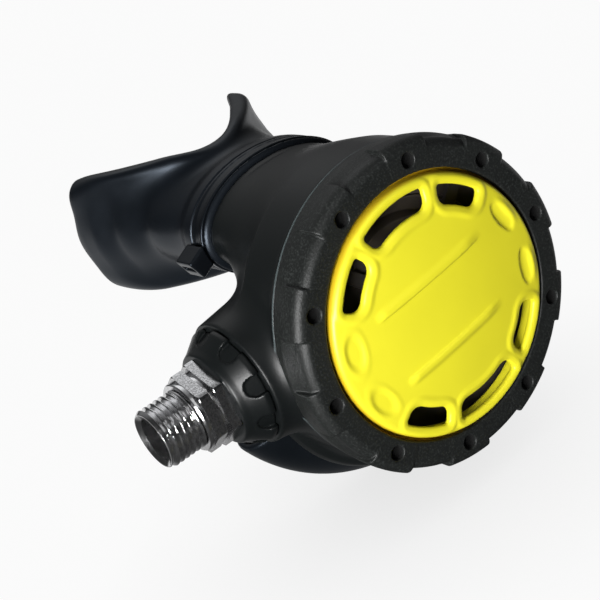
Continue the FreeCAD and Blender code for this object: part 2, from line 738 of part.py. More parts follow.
def housing():
    """The housing: collar, bowl, neck, mouth tube, inlet boss, chin and exhaust port."""
    collar = rod(float(of.collar_radius), Vector(0, float(of.collar_front), 0), Vector(0, 1, 0),
                 float(of.ring_depth) - float(of.collar_front) + 1)
    tube = oval_rod(float(of.tube_half_width), float(of.tube_half_height), float(of.neck_end),
                    float(of.tube_end), float(of.tube_height))
    port = port_rod(float(of.port_radius) + float(of.port_wall), -4, float(of.port_height))
    flange = Part.makeCone(float(of.ring_back_radius), float(of.bowl_radius), 1.6,
                           Vector(0, float(of.ring_depth) + float(of.thread_clearance), 0), Vector(0, 1, 0))
    shape = housing_outside()
    for addition in (collar, tube, port, flange, boss()):
        shape = shape.fuse(addition)
    wall = float(of.wall)
    shift = wall * 0.6
    front_room = rod(float(of.collar_radius) - float(of.collar_wall), Vector(0, 0, 0), Vector(0, 1, 0),
                     float(of.ledge_depth))
    eye = rod(float(of.ledge_radius), Vector(), Vector(0, 1, 0), float(of.bowl_depth) - shift)
    back_of_ledge = float(of.ledge_depth) + float(of.ledge_thickness)
    room = rod(float(of.bowl_radius) - wall, Vector(0, back_of_ledge, 0), Vector(0, 1, 0),
               float(of.bowl_depth) - shift - back_of_ledge)
    bore = sleeve_oval(-float(of.tube_wall), float(of.neck_end) - wall, float(of.tube_end) + 1)
    port_bore = port_rod(float(of.port_radius), -12, float(of.port_height) + 1)
    inlet = rod(float(of.shank_radius) + float(of.thread_clearance), Vector(0, float(of.inlet_depth), 0),
                Vector(-1, 0, 0), float(of.boss_end) + 2)
    seal_seat = rod(float(of.shank_radius) + float(of.seal_height) + 0.1,
                    Vector(-float(of.boss_end) + float(of.seal_width) + 0.1, float(of.inlet_depth), 0),
                    Vector(-1, 0, 0), 4)
    flap_room = port_rod(float(of.port_radius) + float(of.port_wall) + float(of.moving_clearance),
                         float(of.port_height), float(of.port_height) + 10)
    for hollow in (chin_recess(), crown_recess(), front_room, eye, room, neck(wall, shift), bore,
                   port_bore, inlet, seal_seat, flap_room):
        shape = shape.cut(hollow)
    shape = shape.fuse(port_bars())
    return keep("housing", worked("housing", shape))


# Diaphragm stack

def slip_ring():
    """The thin ring that the front ring turns on."""
    front = of.ledge_depth - of.bead_height - of.guide_rim_height - of.slip_ring_height
    inner = of.cavity_radius
    outer = of.socket_radius
    return keep("slip_ring", turned("slip_ring", [
        (inner, front),
        (outer, front),
        (outer, front + of.slip_ring_height),
        (inner, front + of.slip_ring_height),
    ]))


def guide_bar_back():
    """Depth of the back of the purge guide's bars."""
    return of.ledge_depth - of.web - of.moving_clearance


def purge_guide():
    """The spoked guide that carries the purge spring and centres the purge cover's pin."""
    back = of.ledge_depth - of.bead_height
    front = back - of.guide_rim_height
    inner = of.cavity_radius
    outer = of.socket_radius
    bar_back = guide_bar_back()
    bar_front = bar_back - of.guide_bar
    lip = inner - 1.0
    hole = of.push_radius + of.moving_clearance
    rim = turned("guide_rim", [(lip, bar_front), (inner, bar_front), (inner, front), (outer, front),
                               (outer, back), (lip, back)])
    hub = turned("guide_hub", [(hole, bar_front), (of.guide_hub_radius, bar_front),
                               (of.guide_hub_radius, bar_back), (hole, bar_back)])
    bars = []
    width = 3.0
    for index in range(4):
        start = float(of.guide_hub_radius) - 0.6
        length = float(lip) + 0.3 - start
        bar = Part.makeBox(length, float(of.guide_bar), width, Vector(start, float(bar_front), -width / 2))
        bar.rotate(Vector(), Vector(0, 1, 0), 45 + 90 * index)
        bars.append(worked("guide_bar_%d" % (index + 1), bar))
    return keep("purge_guide", united("purge_guide", [rim, hub] + bars))


def diaphragm():
    """The soft membrane, with a bead at its edge and one fold."""
    inner = of.socket_radius
    back = of.ledge_depth
    front = back - of.web
    bead_front = back - of.bead_height
    fold = of.ledge_radius - 2.2
    return keep("diaphragm", turned("diaphragm", [
        (0, front),
        (fold - 6, front),
        (fold - 4, front + of.fold_depth),
        (fold - 0.4, front + of.fold_depth),
        (fold + 1.6, front),
        (inner - 2.1, front),
        (inner - 2.1, bead_front),
        (inner, bead_front),
        (inner, back),
        (fold + 1.9, back),
        (fold - 0.1, back + of.fold_depth),
        (fold - 4.3, back + of.fold_depth),
        (fold - 6.3, back),
        (0, back),
    ]))


def diaphragm_plate():
    """The stiff disc behind the membrane, with the pad that the lever rubs on."""
    front = of.ledge_depth + of.seat_gap
    back = front + of.plate_thickness
    body = turned("plate", [
        (0, front),
        (of.plate_radius, front),
        (of.plate_radius, back),
        (5.4, back),
        (5.0, back + 0.4),
        (0, back + 0.4),
    ])
    return keep("diaphragm_plate", body)


def lever_contact():
    """Depth at which the lever's tip meets the plate's pad, with its clearance."""
    return of.ledge_depth + of.seat_gap + of.plate_thickness + 0.4 + of.moving_clearance


# Purge cover

def sector_solid(inner, outer, middle, span, front, back):
    """A slot-shaped solid with round ends, along the depth axis, about a middle angle."""
    radius = (outer - inner) / 2
    centre = (outer + inner) / 2
    half = span / 2 - math.degrees(radius / centre)

    def at(distance, angle):
        angle = math.radians(angle)
        return Vector(distance * math.cos(angle), front, distance * math.sin(angle))

    low = middle - half
    high = middle + half
    end = math.degrees(radius / centre)
    edges = [
        Part.Arc(at(outer, low), at(outer, middle), at(outer, high)).toShape(),
        Part.Arc(at(outer, high), at(centre, high + end), at(inner, high)).toShape(),
        Part.Arc(at(inner, high), at(inner, middle), at(inner, low)).toShape(),
        Part.Arc(at(inner, low), at(centre, low - end), at(outer, low)).toShape(),
    ]
    return Part.Face(Part.Wire(edges)).extrude(Vector(0, back - front, 0))


def dome_radius():
    """Radius of the sphere that the purge cover's face is a part of."""
    edge = of.cover_radius - 1.3
    sag = of.cover_rise + of.cover_edge - 1.3
    return edge * edge / (sag * 2) + sag / 2


def purge_cover():
    """The domed cover that is pressed to purge, with its slots, dimples, ridges and push pin."""
    lip = 1.3
    radius = dome_radius()
    wall = of.cover_wall
    edge = of.cover_radius - lip
    flange_front = of.ring_lip + of.moving_clearance
    flange_back = flange_front + of.cover_flange
    inner = of.cover_radius - wall
    inner_edge = of.cover_edge - lip + wall
    blank = turned("cover", [
        (0, -of.cover_rise, -radius),
        (edge, of.cover_edge - lip, -1.4),
        (of.cover_radius, of.cover_edge),
        (of.cover_radius, flange_front),
        (of.cover_flange_radius, flange_front),
        (of.cover_flange_radius, flange_back),
        (inner, flange_back),
        (inner, inner_edge),
        (of.push_radius, -of.cover_rise + wall),
        (of.push_radius, of.ledge_depth - of.web - of.moving_clearance),
        (0, of.ledge_depth - of.web - of.moving_clearance),
    ])
    turn = float(of.face_turn) - 0.7
    slot_inner = float(of.slot_inner)
    slot_outer = float(of.slot_outer)
    tools = []
    for middle in (90, 270):
        tools.append(sector_solid(slot_inner, slot_outer, middle + turn, 40, -6, 3))
    for middle in (48.5, 131.5, 228.5, 311.5):
        tools.append(sector_solid(slot_inner, slot_outer - 0.5, middle + turn, 26, -6, 3))
    centre = Vector(0, float(radius) - float(of.cover_rise), 0)
    sphere = Part.makeSphere(float(radius) - float(of.dimple_depth), centre)
    for middle in (15.5, 164.5, 196.5, 343.5):
        tools.append(sector_solid(slot_inner + 1.5, slot_outer, middle + turn, 19, -6, 3).cut(sphere))
    slots = worked("cover_openings", Part.makeCompound(tools))
    pair = [ridge(6.7, 1, float(radius)), ridge(-6.7, -1, float(radius))]
    ridges = worked("cover_ridges", Part.makeCompound(pair))
    return keep("purge_cover", united("purge_cover", [cut("cover_cut", blank, [slots]), ridges]))


def ridge(offset, side, radius):
    """One long lens-shaped ridge across the purge cover, raised over its dome."""
    tilt = math.radians(6.5)
    half_length = 16.5
    half_width = 1.3
    along = Vector(math.cos(tilt), 0, math.sin(tilt))
    across = Vector(-math.sin(tilt), 0, math.cos(tilt)) * side
    middle = Vector(0, -8, 0) + across * (abs(offset) + half_width)
    inner = Part.LineSegment(middle - along * half_length - across * half_width,
                             middle + along * half_length - across * half_width).toShape()
    outer = Part.Arc(middle + along * half_length - across * half_width, middle + across * half_width,
                     middle - along * half_length - across * half_width).toShape()
    prism = Part.Face(Part.Wire([inner, outer])).extrude(Vector(0, 8, 0))
    rise = float(of.cover_rise) + float(of.ridge_height)
    dome = Part.makeSphere(radius, Vector(0, radius - rise, 0))
    core = Part.makeSphere(radius - 1.0, Vector(0, radius - rise + 1.0, 0))
    return prism.common(dome).cut(core)


# Springs

def coil_path(radius, turns, start, length, quarter=8):
    """Points and directions round a helix about the Z axis."""
    steps = int(round(turns * quarter))
    points = []
    for index in range(steps + 1):
        angle = 2 * math.pi * turns * index / steps
        rise = length / (2 * math.pi * turns)
        point = Vector(radius * math.cos(angle), radius * math.sin(angle), start + rise * angle)
        way = Vector(-radius * math.sin(angle), radius * math.cos(angle), rise).normalize()
        points.append((point, way))
    return points


def arc_from(start, way, end):
    """The arc that leaves start along way and ends at end."""
    chord = end - start
    apex = start + way * (chord.dot(chord) / (2 * chord.dot(way)))
    middle = (start + end) * 0.5
    bend = chord.getAngle(way)
    top = middle + (apex - middle) * (math.cos(bend) / (1 + math.cos(bend)))
    return Part.Arc(start, top, end).toShape()


def coil(radius, wire, turns, start, length):
    """A spring about the Z axis: one round wire along pairs of arcs that touch without a corner."""
    path = coil_path(radius, turns, start, length)
    edges = []
    for (first, way), (last, end_way) in zip(path, path[1:]):
        chord = last - first
        both = way + end_way
        slack = 2 * (1 - way.dot(end_way))
        root = math.sqrt(chord.dot(both) ** 2 + 2 * slack * chord.dot(chord))
        reach = (root - chord.dot(both)) / (2 * slack)
        joint = (first + last + (way - end_way) * reach) * 0.5
        edges.append(arc_from(first, way, joint))
        joint_way = (last - end_way * reach - (first + way * reach)).normalize()
        edges.append(arc_from(joint, joint_way, last))
    spine = Part.Wire(edges)
    section = Part.Wire([Part.makeCircle(wire / 2, path[0][0], path[0][1])])
    return spine.makePipeShell([section], True, False)


def report_gap(name, wire, turns, length):
    print("%s: least gap between turns %.2f mm" % (name, length / turns - wire))


def purge_spring():
    """The coil that pushes the purge cover out again."""
    wire = float(of.purge_wire)
    front = -float(of.cover_rise) + float(of.cover_wall) + 0.35 + wire / 2
    back = float(guide_bar_back() - of.guide_bar) - wire / 2 - 0.05
    turns = float(of.purge_turns)
    shape = coil(float(of.purge_coil_radius), wire, turns, 0, back - front)
    shape.Placement = Placement(Vector(0, front, 0), Rotation(Vector(1, 0, 0), -90))
    report_gap("purge_spring", wire, turns, back - front)
    return keep("purge_spring", worked("purge_spring", shape))


def valve_spring():
    """The coil that holds the poppet against the orifice."""
    wire = float(of.valve_wire)
    start = -float(of.orifice_seat) + float(of.seat_gap) + 0.4 + float(of.poppet_head) + wire / 2 + 0.05
    end = -float(of.spring_stop) - wire / 2 - 0.05
    turns = float(of.valve_turns)
    shape = coil(float(of.valve_coil_radius), wire, turns, 0, end - start)
    shape.Placement = Placement(Vector(start, float(of.inlet_depth), 0), Rotation(Vector(0, 1, 0), 90))
    report_gap("valve_spring", wire, turns, end - start)
    return keep("valve_spring", worked("valve_spring", shape))


# Inlet and valve

def hex_start():
    """Place of the front of the barrel's hexagon."""
    return -(of.inlet_collar_end + of.nut_thickness + of.hex_gap + of.hex_thickness)


def valve_barrel():
    """The chromed barrel: hose thread, hexagon, and the tube that holds the poppet."""
    flange = hex_start()
    thread_end = flange - of.thread_relief
    neck_radius = of.hex_width / 2 - 0.4
    core = turned("barrel", [
        (-of.inlet_end, 0),
        (-of.inlet_end, of.thread_radius - of.thread_depth),
        (-of.inlet_end + 0.7, of.thread_radius),
        (thread_end - of.thread_pitch * 0.5, of.thread_radius),
        (thread_end - of.thread_pitch * 0.5, of.thread_radius - of.thread_depth),
        (thread_end, of.thread_radius - of.thread_depth),
        (thread_end, neck_radius),
        (flange + of.hex_thickness + of.hex_gap, neck_radius),
        (flange + of.hex_thickness + of.hex_gap, of.shank_radius),
        (of.barrel_end, of.shank_radius),
        (of.barrel_end, 0),
    ], about="x")
    cut_thread(core)
    body = united("barrel_outside", [core, hexagon("barrel_hex", of.hex_width, of.hex_thickness, flange)])
    step = -of.orifice_seat - 0.8
    orifice_start = -of.orifice_seat - of.orifice_length - of.moving_clearance
    orifice_bore = of.orifice_radius + of.thread_clearance
    stop_back = -of.spring_stop + of.spring_stop_thickness
    stem_hole = of.stem_radius + of.moving_clearance
    bore = turned("barrel_bore", [
        (-of.inlet_end - 1, 0),
        (-of.inlet_end - 1, of.inlet_bore + 1.7),
        (-of.inlet_end + 0.7, of.inlet_bore),
        (orifice_start, of.inlet_bore),
        (orifice_start, orifice_bore),
        (step, orifice_bore),
        (step, of.barrel_bore),
        (-of.spring_stop, of.barrel_bore),
        (-of.spring_stop, stem_hole),
        (stop_back, stem_hole),
        (stop_back, of.barrel_bore),
        (of.barrel_end + 1, of.barrel_bore),
        (of.barrel_end + 1, 0),
    ], about="x")
    half = of.foot_thickness / 2 + 0.9
    window_height = of.foot_height + 0.9
    reach = of.shank_radius + 1
    windows = block("lever_windows", (of.lever_pivot - half, of.inlet_depth - window_height / 2, -reach),
                    (half * 2, window_height, reach * 2))
    outlet = block("air_outlet", (-of.orifice_seat + 12.7, of.inlet_depth, -1.8), (6.5, reach, 3.6))
    return keep("valve_barrel", cut("valve_barrel", body, [bore, windows, outlet]))


def cut_thread(body):
    """The grooves of the hose thread."""
    first = -of.inlet_end + 0.7 + of.thread_crest
    flank = (of.thread_pitch - of.thread_crest) / 2
    over = 0.3
    sketch = profile(body, "thread_groove", [
        (first, of.thread_radius),
        (first, of.thread_radius + over),
        (first + flank * 2, of.thread_radius + over),
        (first + flank * 2, of.thread_radius),
        (first + flank + 0.08, of.thread_radius - of.thread_depth),
        (first + flank - 0.08, of.thread_radius - of.thread_depth),
    ])
    groove = body.newObject("PartDesign::Groove", "thread_cut")
    groove.Profile = sketch
    groove.ReferenceAxis = (sketch, ["H_Axis"])
    groove.Angle = 360
    pattern = body.newObject("PartDesign::LinearPattern", "thread_pattern")
    pattern.Originals = [groove]
    pattern.Direction = (sketch, ["H_Axis"])
    pattern.Occurrences = int(float(of.thread_count))
    pattern.setExpression("Length", (of.thread_pitch * (of.thread_count - 1)).text)
    body.Tip = pattern


def inlet_collar():
    """The tapered collar between the boss and the lock nut, with pockets round it."""
    start = -of.boss_end - of.seat_gap
    end = -of.inlet_collar_end
    bore = of.shank_radius + of.thread_clearance
    blank = turned("collar", [
        (start, bore),
        (start, of.inlet_collar_radius),
        (start - 1.4, of.inlet_collar_radius - 0.1),
        (end + 1.6, of.inlet_collar_nose + 0.7),
        (end, of.inlet_collar_nose),
        (end, bore),
    ], about="x")
    pockets = [collar_pocket(index, float(start)) for index in range(int(float(of.pocket_count)))]
    return keep("inlet_collar", cut("inlet_collar", blank, pockets))


def collar_pocket(index, start):
    """The tool for one pocket: open to the boss, round at its other end, with a sloping floor."""
    radius = float(of.pocket_radius)
    high = float(of.inlet_collar_radius) + 3
    low = float(of.inlet_collar_nose) - 3
    middle = start - float(of.pocket_length) + radius
    outline = Part.makeBox(start + 1 - middle, 2 * radius, high - low, Vector(middle, -radius, low))
    outline = outline.fuse(rod(radius, Vector(middle, 0, low), Vector(0, 0, 1), high - low))
    floor = float(of.inlet_collar_radius) - float(of.pocket_depth)
    slope = math.tan(math.radians(float(of.pocket_slope)))
    far = middle - radius - 1
    side = [
        Vector(start + 1, -radius - 1, floor + slope),
        Vector(start + 1, -radius - 1, high),
        Vector(far, -radius - 1, high),
        Vector(far, -radius - 1, floor + slope * (far - start)),
    ]
    over_floor = Part.Face(Part.makePolygon(side + side[:1])).extrude(Vector(0, 2 * radius + 2, 0))
    tool = outline.common(over_floor)
    step = 360.0 / float(of.pocket_count)
    tool.rotate(Vector(), Vector(1, 0, 0), float(of.pocket_turn) - 90 + step * index)
    tool.translate(Vector(0, float(of.inlet_depth), 0))
    return worked("collar_pocket_%d" % (index + 1), tool)


def barrel_lock_nut():
    """The hexagon nut that clamps the barrel in the housing."""
    start = -(of.inlet_collar_end + of.nut_thickness)
    hole = turned("nut_hole", [
        (start - 1, 0),
        (start - 1, of.shank_radius + of.thread_clearance),
        (-of.inlet_collar_end + 1, of.shank_radius + of.thread_clearance),
        (-of.inlet_collar_end + 1, 0),
    ], about="x")
    nut = hexagon("nut_hex", of.nut_width, of.nut_thickness, start)
    return keep("barrel_lock_nut", cut("barrel_lock_nut", nut, [hole]))


def o_ring(name, place, inner, thickness):
    """A rubber ring about the inlet's axis."""
    ring = doc.addObject("Part::Torus", name)
    ring.Placement = Placement(Vector(), Rotation(Vector(0, 1, 0), 90))
    bind(ring, Radius1=inner + thickness / 2, Radius2=thickness / 2)
    bind(ring, Placement__Base__x=place, Placement__Base__y=of.inlet_depth)
    return ring


def barrel_seal():
    """The rubber ring between the barrel's end and the housing, inside the boss's mouth."""
    start = -of.boss_end + of.seal_width
    inner = of.shank_radius + of.thread_clearance + 0.05
    outer = of.shank_radius + of.seal_height
    return keep("barrel_seal", turned("barrel_seal", [
        (start, inner),
        (start, outer),
        (start - of.seal_width, outer),
        (start - of.seal_width, inner),
    ], about="x"))


def orifice():
    """The screwed orifice whose edge the poppet's seat closes."""
    tip = -of.orifice_seat
    shoulder = tip - 1.0
    start = tip - of.orifice_length
    outer = of.orifice_radius
    groove = shoulder - 3.0
    body = turned("orifice", [
        (start, of.orifice_bore + 1.2),
        (start, outer),
        (groove - 1.5, outer),
        (groove - 1.5, outer - 1.2),
        (groove, outer - 1.2),
        (groove, outer),
        (shoulder, outer),
        (shoulder, 3.0),
        (tip - 0.3, 3.0),
        (tip, of.orifice_bore + 0.5),
        (tip, of.orifice_bore),
        (start + 3.0, of.orifice_bore),
    ], about="x")
    return keep("orifice", body)


def orifice_seal():
    """The rubber ring in the orifice's groove."""
    groove = -of.orifice_seat - 1.0 - 3.0
    thickness = as_size(1.1)
    outer = of.orifice_radius + of.thread_clearance - 0.03
    return keep("orifice_seal", o_ring("orifice_seal", groove - 0.75, outer - thickness, thickness))


def poppet_front():
    """Place of the front of the poppet's seat disc."""
    return -of.orifice_seat + of.seat_gap


def poppet():
    """The poppet: a cup for the seat disc and a long stem."""
    face = poppet_front() + 0.4
    back = face + of.poppet_head
    cup = poppet_front() + of.seat_thickness
    washer = washer_place()
    end = washer + of.washer_thickness + of.poppet_nut_height + 1.0
    return keep("poppet", turned("poppet", [
        (cup, 0),
        (cup, of.seat_radius),
        (face, of.seat_radius),
        (face, of.poppet_radius),
        (back, of.poppet_radius),
        (back, of.stem_radius + 1.0),
        (back + 1.2, of.stem_radius),
        (end, of.stem_radius),
        (end, 0),
    ], about="x"))


def poppet_seat():
    """The soft disc that closes the orifice."""
    front = poppet_front()
    radius = of.seat_radius - 0.02
    return keep("poppet_seat", turned("poppet_seat", [
        (front, 0),
        (front, radius),
        (front + of.seat_thickness, radius),
        (front + of.seat_thickness, 0),
    ], about="x"))


def washer_place():
    """Place of the face of the lever's washer that the feet push."""
    return of.lever_pivot + of.foot_thickness / 2 + of.moving_clearance


def lever_washer():
    """The washer between the lever's feet and the poppet's nut."""
    start = washer_place()
    return keep("lever_washer", turned("lever_washer", [
        (start, of.stem_radius + 0.05),
        (start, of.barrel_bore - of.moving_clearance),
        (start + of.washer_thickness, of.barrel_bore - of.moving_clearance),
        (start + of.washer_thickness, of.stem_radius + 0.05),
    ], about="x"))


def poppet_nut():
    """The lock nut on the poppet's stem."""
    start = washer_place() + of.washer_thickness
    hole = turned("poppet_nut_hole", [
        (start - 1, 0),
        (start - 1, of.stem_radius + 0.05),
        (start + of.poppet_nut_height + 1, of.stem_radius + 0.05),
        (start + of.poppet_nut_height + 1, 0),
    ], about="x")
    nut = hexagon("poppet_nut_hex", of.poppet_nut_width, of.poppet_nut_height, start)
    return keep("poppet_nut", cut("poppet_nut", nut, [hole]))


def demand_lever():
    """The bent lever: a tip under the plate, an arm, a fork round the barrel, and two feet."""
    pivot_x = float(of.lever_pivot)
    pivot_y = float(of.inlet_depth)
    thickness = float(of.lever_thickness)
    tip_y = float(lever_contact())
    top_y = pivot_y - float(of.shank_radius) - 1.2 - thickness
    fork = float(of.shank_radius) + float(of.moving_clearance) + 0.2
    width = float(of.lever_width)
    outer = fork + thickness
    # The arm in the XY plane, from its rounded tip to the bridge over the barrel.
    knee_x = pivot_x - 2.6
    line = [
        Vector(-2.0, tip_y + 1.3, 0),
        Vector(0, tip_y, 0),
        Vector(2.0, tip_y + 0.5, 0),
        Vector(knee_x, top_y, 0),
        Vector(pivot_x + 1.6, top_y, 0),
        Vector(pivot_x + 1.6, top_y + thickness, 0),
        Vector(knee_x - 0.3, top_y + thickness, 0),
        Vector(2.0, tip_y + 0.5 + thickness, 0),
        Vector(0, tip_y + thickness, 0),
        Vector(-2.0, tip_y + 1.3 + thickness, 0),
    ]
    arm = Part.Face(Part.makePolygon(line + line[:1])).extrude(Vector(0, 0, width))
    arm.translate(Vector(0, 0, -width / 2))
    bridge = Part.makeBox(4.2, thickness, 2 * outer, Vector(knee_x, top_y, -outer))
    shape = arm.fuse(bridge)
    foot_height = float(of.foot_height)
    foot_thickness = float(of.foot_thickness)
    for side in (-1, 1):
        low = fork if side > 0 else -outer
        leg = Part.makeBox(4.2, pivot_y + foot_height / 2 - top_y, thickness, Vector(knee_x, top_y, low))
        start = float(of.stem_radius) + float(of.moving_clearance) + 0.2
        corner = Vector(pivot_x - foot_thickness / 2, pivot_y - foot_height / 2,
                        start if side > 0 else -outer)
        foot = Part.makeBox(foot_thickness, foot_height, outer - start, corner)
        knuckle = rod(2.6, Vector(pivot_x, pivot_y, low), Vector(0, 0, 1), thickness)
        shape = shape.fuse([leg, foot, knuckle])
    return keep("demand_lever", worked("demand_lever", shape.removeSplitter()))


def air_deflector():
    """The open clip round the barrel that turns the air towards the mouth tube."""
    inner = float(of.shank_radius) + float(of.thread_clearance)
    outer = inner + 1.2
    start = -float(of.orifice_seat) + 11.9
    length = 12.0
    centre = Vector(start, float(of.inlet_depth), 0)
    ring = rod(outer, centre, Vector(1, 0, 0), length).cut(rod(inner, centre, Vector(1, 0, 0), length))
    gap = Part.makeBox(length, outer + 1, 2 * outer, Vector(start, float(of.inlet_depth) - outer - 1, -outer))
    gap.translate(Vector(0, -inner * 0.35, 0))
    outlet = Part.makeBox(6.5, outer + 1, 5.0, Vector(start + 0.9, float(of.inlet_depth), -2.5))
    lip = Part.makeBox(1.2, 2.2, 6.5, Vector(start + 8.2, float(of.inlet_depth) + inner + 0.3, -1.0))
    return keep("air_deflector", worked("air_deflector", ring.cut([gap, outlet]).fuse(lip)))


# Exhaust

def exhaust_valve():
    """The soft flap on the exhaust port, with the stem that holds it."""
    seat = float(of.port_height)
    radius = float(of.port_radius) + 1.1
    thickness = float(of.flap_thickness)
    stem_radius = float(of.flap_stem)
    length = float(of.flap_stem_length)
    up = Vector(0, 0, 1)
    disc = Part.makeCone(radius, radius * 0.8, thickness, Vector(0, 0, seat), up)
    stem = rod(stem_radius, Vector(0, 0, seat - length), up, length + 0.1)
    neck_disc = rod(stem_radius * 2.1, Vector(0, 0, seat - 0.6), up, 0.7)
    bulb_place = Vector(0, 0, seat - length * 0.95)
    bulb = Part.makeCone(stem_radius * 0.7, stem_radius * 1.5, length * 0.4, bulb_place, up)
    shape = placed(disc.fuse([stem, neck_disc, bulb]), port_place())
    return keep("exhaust_valve", worked("exhaust_valve", shape))


def tee_section(angle, shrink):
    """An oval across the diffuser's sweep, at an angle from straight down."""
    share = (abs(angle) / float(of.tee_sweep)) ** 2
    half_height = mix(float(of.tee_half_height), float(of.tee_end_half_height), share ** 0.65)
    half_depth = mix(float(of.tee_half_depth), float(of.tee_end_half_depth), share)
    circle = Part.Wire([Part.makeCircle(1.0, Vector(), Vector(1, 0, 0))])
    stretch = Matrix()
    stretch.scale(1.0, half_depth - shrink, half_height - shrink)
    wire = circle.transformGeometry(stretch)
    height = half_height - float(of.tee_radius) + share * 0.6
    wire.translate(Vector(0, float(of.tee_depth) + 3 * share, height))
    wire.rotate(Vector(), Vector(0, 1, 0), angle)
    return wire


def exhaust_diffuser():
    """The hollow rubber cover that leads the bubbles out to both sides."""
    sweep = float(of.tee_sweep)
    angles = [sweep * share for share in (-1, -0.5, 0, 0.5, 1)]
    outside = Part.makeLoft([tee_section(angle, 0) for angle in angles], True, False)
    over = [angles[0] - 3] + angles[1:-1] + [angles[-1] + 3]
    inside = Part.makeLoft([tee_section(angle, float(of.tee_wall)) for angle in over], True, False)
    gap = float(of.seat_gap)
    port_outside = float(of.port_radius) + float(of.port_wall)
    port = port_rod(port_outside + gap, -port_outside / 2, float(of.port_height) + port_outside / 3)
    shape = outside.cut(inside).cut([housing_outside(gap), port, boss(gap)])
    solids = sorted(shape.Solids, key=lambda solid: solid.Volume)
    return keep("exhaust_diffuser", worked("exhaust_diffuser", solids[-1]))


# Mouthpiece

def sleeve_oval(grow, front, back):
    """An oval solid round the mouth tube, larger than it by grow."""
    return oval_rod(float(of.tube_half_width) + grow, float(of.tube_half_height) + grow, front, back,
                    float(of.tube_height))


def mouthpiece():
    """The soft mouthpiece: sleeve with a groove for the tie, curved flange and two bite tabs."""
    wall = float(of.sleeve_wall)
    bead = float(of.bead_step)
    front = float(of.tube_start) + 0.2
    tie_front = float(of.tie_start) - 0.2
    tie_back = float(of.tie_start) + float(of.tie_width) + 0.2
    flare = float(of.flare_step)
    height = float(of.tube_height)
    half_width = float(of.tube_half_width) + wall
    half_height = float(of.tube_half_height) + wall
    sections = [
        (half_width + bead, half_height + bead, tie_back),
        (half_width + bead, half_height + bead, tie_back + 2),
        (half_width - 0.4, half_height, tie_back + 7),
        (half_width, half_height + 0.6, flange_depth_at(half_width) - 6),
        (half_width + flare, half_height + 1.6, flange_depth_at(half_width + flare) + 1.5),
    ]
    wires = [oval_wire(wide, high, depth, height) for wide, high, depth in sections]
    funnel = Part.makeLoft(wires, True, False).cut(flange_slab(1.2, 30.0))
    groove = sleeve_oval(wall, front, tie_back + 0.5)
    body = sleeve_oval(wall + bead, front, tie_front).fuse([groove, funnel])
    plate = flange_outline().common(flange_slab(0.0, float(of.flange_thickness)))
    body = body.fuse([plate] + bite_tabs())
    tube = sleeve_oval(0.05, front - 1, float(of.tube_end) + 0.2)
    bore = sleeve_oval(-float(of.tube_wall), front - 1, float(of.flange_end) + 5)
    return keep("mouthpiece", worked("mouthpiece", body.cut([tube, bore]).removeSplitter()))


def sweep_curve(depth, sweep, half_width):
    """The parabola that the flange follows, seen from above: a curve through three poles."""
    poles = [
        Vector(-half_width, depth + sweep, 0),
        Vector(0, depth - sweep, 0),
        Vector(half_width, depth + sweep, 0),
    ]
    curve = Part.BezierCurve()
    curve.setPoles(poles)
    return curve


def flange_curve(offset):
    """The parabola at an offset behind the flange's front face. It opens out with the offset,
    so that the flange stays nearly as thick at its swept ends."""
    reach = float(of.flange_half_width) + 6
    spread = (reach / float(of.flange_half_width)) ** 2 * float(of.flange_sweep)
    return sweep_curve(float(of.flange_depth) + offset, spread * (1 + 0.035 * max(offset, 0.0)), reach)


def flange_depth_at(across):
    """Depth of the flange's front face at a distance from its middle."""
    return float(of.flange_depth) + float(of.flange_sweep) * (across / float(of.flange_half_width)) ** 2


def flange_slab(front, back):
    """The upright curved slab between two parabolas, from front to back behind the flange's face."""
    near, far = flange_curve(front), flange_curve(back)
    first = near.toShape()
    last = far.toShape()
    left = Part.LineSegment(near.StartPoint, far.StartPoint).toShape()
    right = Part.LineSegment(near.EndPoint, far.EndPoint).toShape()
    slab = Part.Face(Part.Wire([first, right, last, left])).extrude(Vector(0, 0, 60))
    slab.translate(Vector(0, 0, float(of.tube_height) - 30))
    return slab


def flange_outline():
    """The flange's outline seen from the front, drawn back to its ends."""
    wide = float(of.flange_half_width)
    high = float(of.flange_half_height)
    top = float(of.flange_top_corner)
    bottom = float(of.flange_bottom_corner)
    edges = []
    corners = [(1, 1, top, 0), (-1, 1, top, 90), (-1, -1, bottom, 180), (1, -1, bottom, 270)]
    stops = []
    for side_x, side_z, radius, start in corners:
        centre = Vector(side_x * (wide - radius), 0, side_z * (high - radius))
        marks = []
        for angle in (start, start + 45, start + 90):
            turn = math.radians(angle)
            marks.append(centre + Vector(radius * math.cos(turn), 0, radius * math.sin(turn)))
        stops.append(marks)
    for index, marks in enumerate(stops):
        edges.append(Part.Arc(*marks).toShape())
        edges.append(Part.LineSegment(marks[2], stops[(index + 1) % 4][0]).toShape())
    front = float(of.flange_depth) - 4
    face = Part.Face(Part.Wire(edges))
    prism = face.extrude(Vector(0, float(of.flange_end) - front, 0))
    prism.translate(Vector(0, front, float(of.tube_height)))
    return prism


def bite_tabs():
    """The two tabs that the teeth hold, each with an upright ridge."""
    tabs = []
    height = float(of.tube_height)
    thickness = float(of.bite_thickness)
    inner = float(of.bite_inner)
    front = float(of.bite_front)
    length = float(of.bite_end) - front
    ridge_width = float(of.bite_ridge)
    ridge_height = float(of.bite_ridge_height)
    outside = flange_slab(-30.0, 1.0)
    for side in (-1, 1):
        reach = float(of.flange_half_width) - inner
        start = inner if side > 0 else -inner - reach
        tab = Part.makeBox(reach, length, thickness, Vector(start, front, height - thickness / 2))
        ridge_start = inner if side > 0 else -inner - ridge_width
        corner = Vector(ridge_start, front, height - ridge_height / 2)
        wall = Part.makeBox(ridge_width, length, ridge_height, corner)
        tabs.append(tab.cut(outside))
        tabs.append(wall.cut(outside))
    return tabs


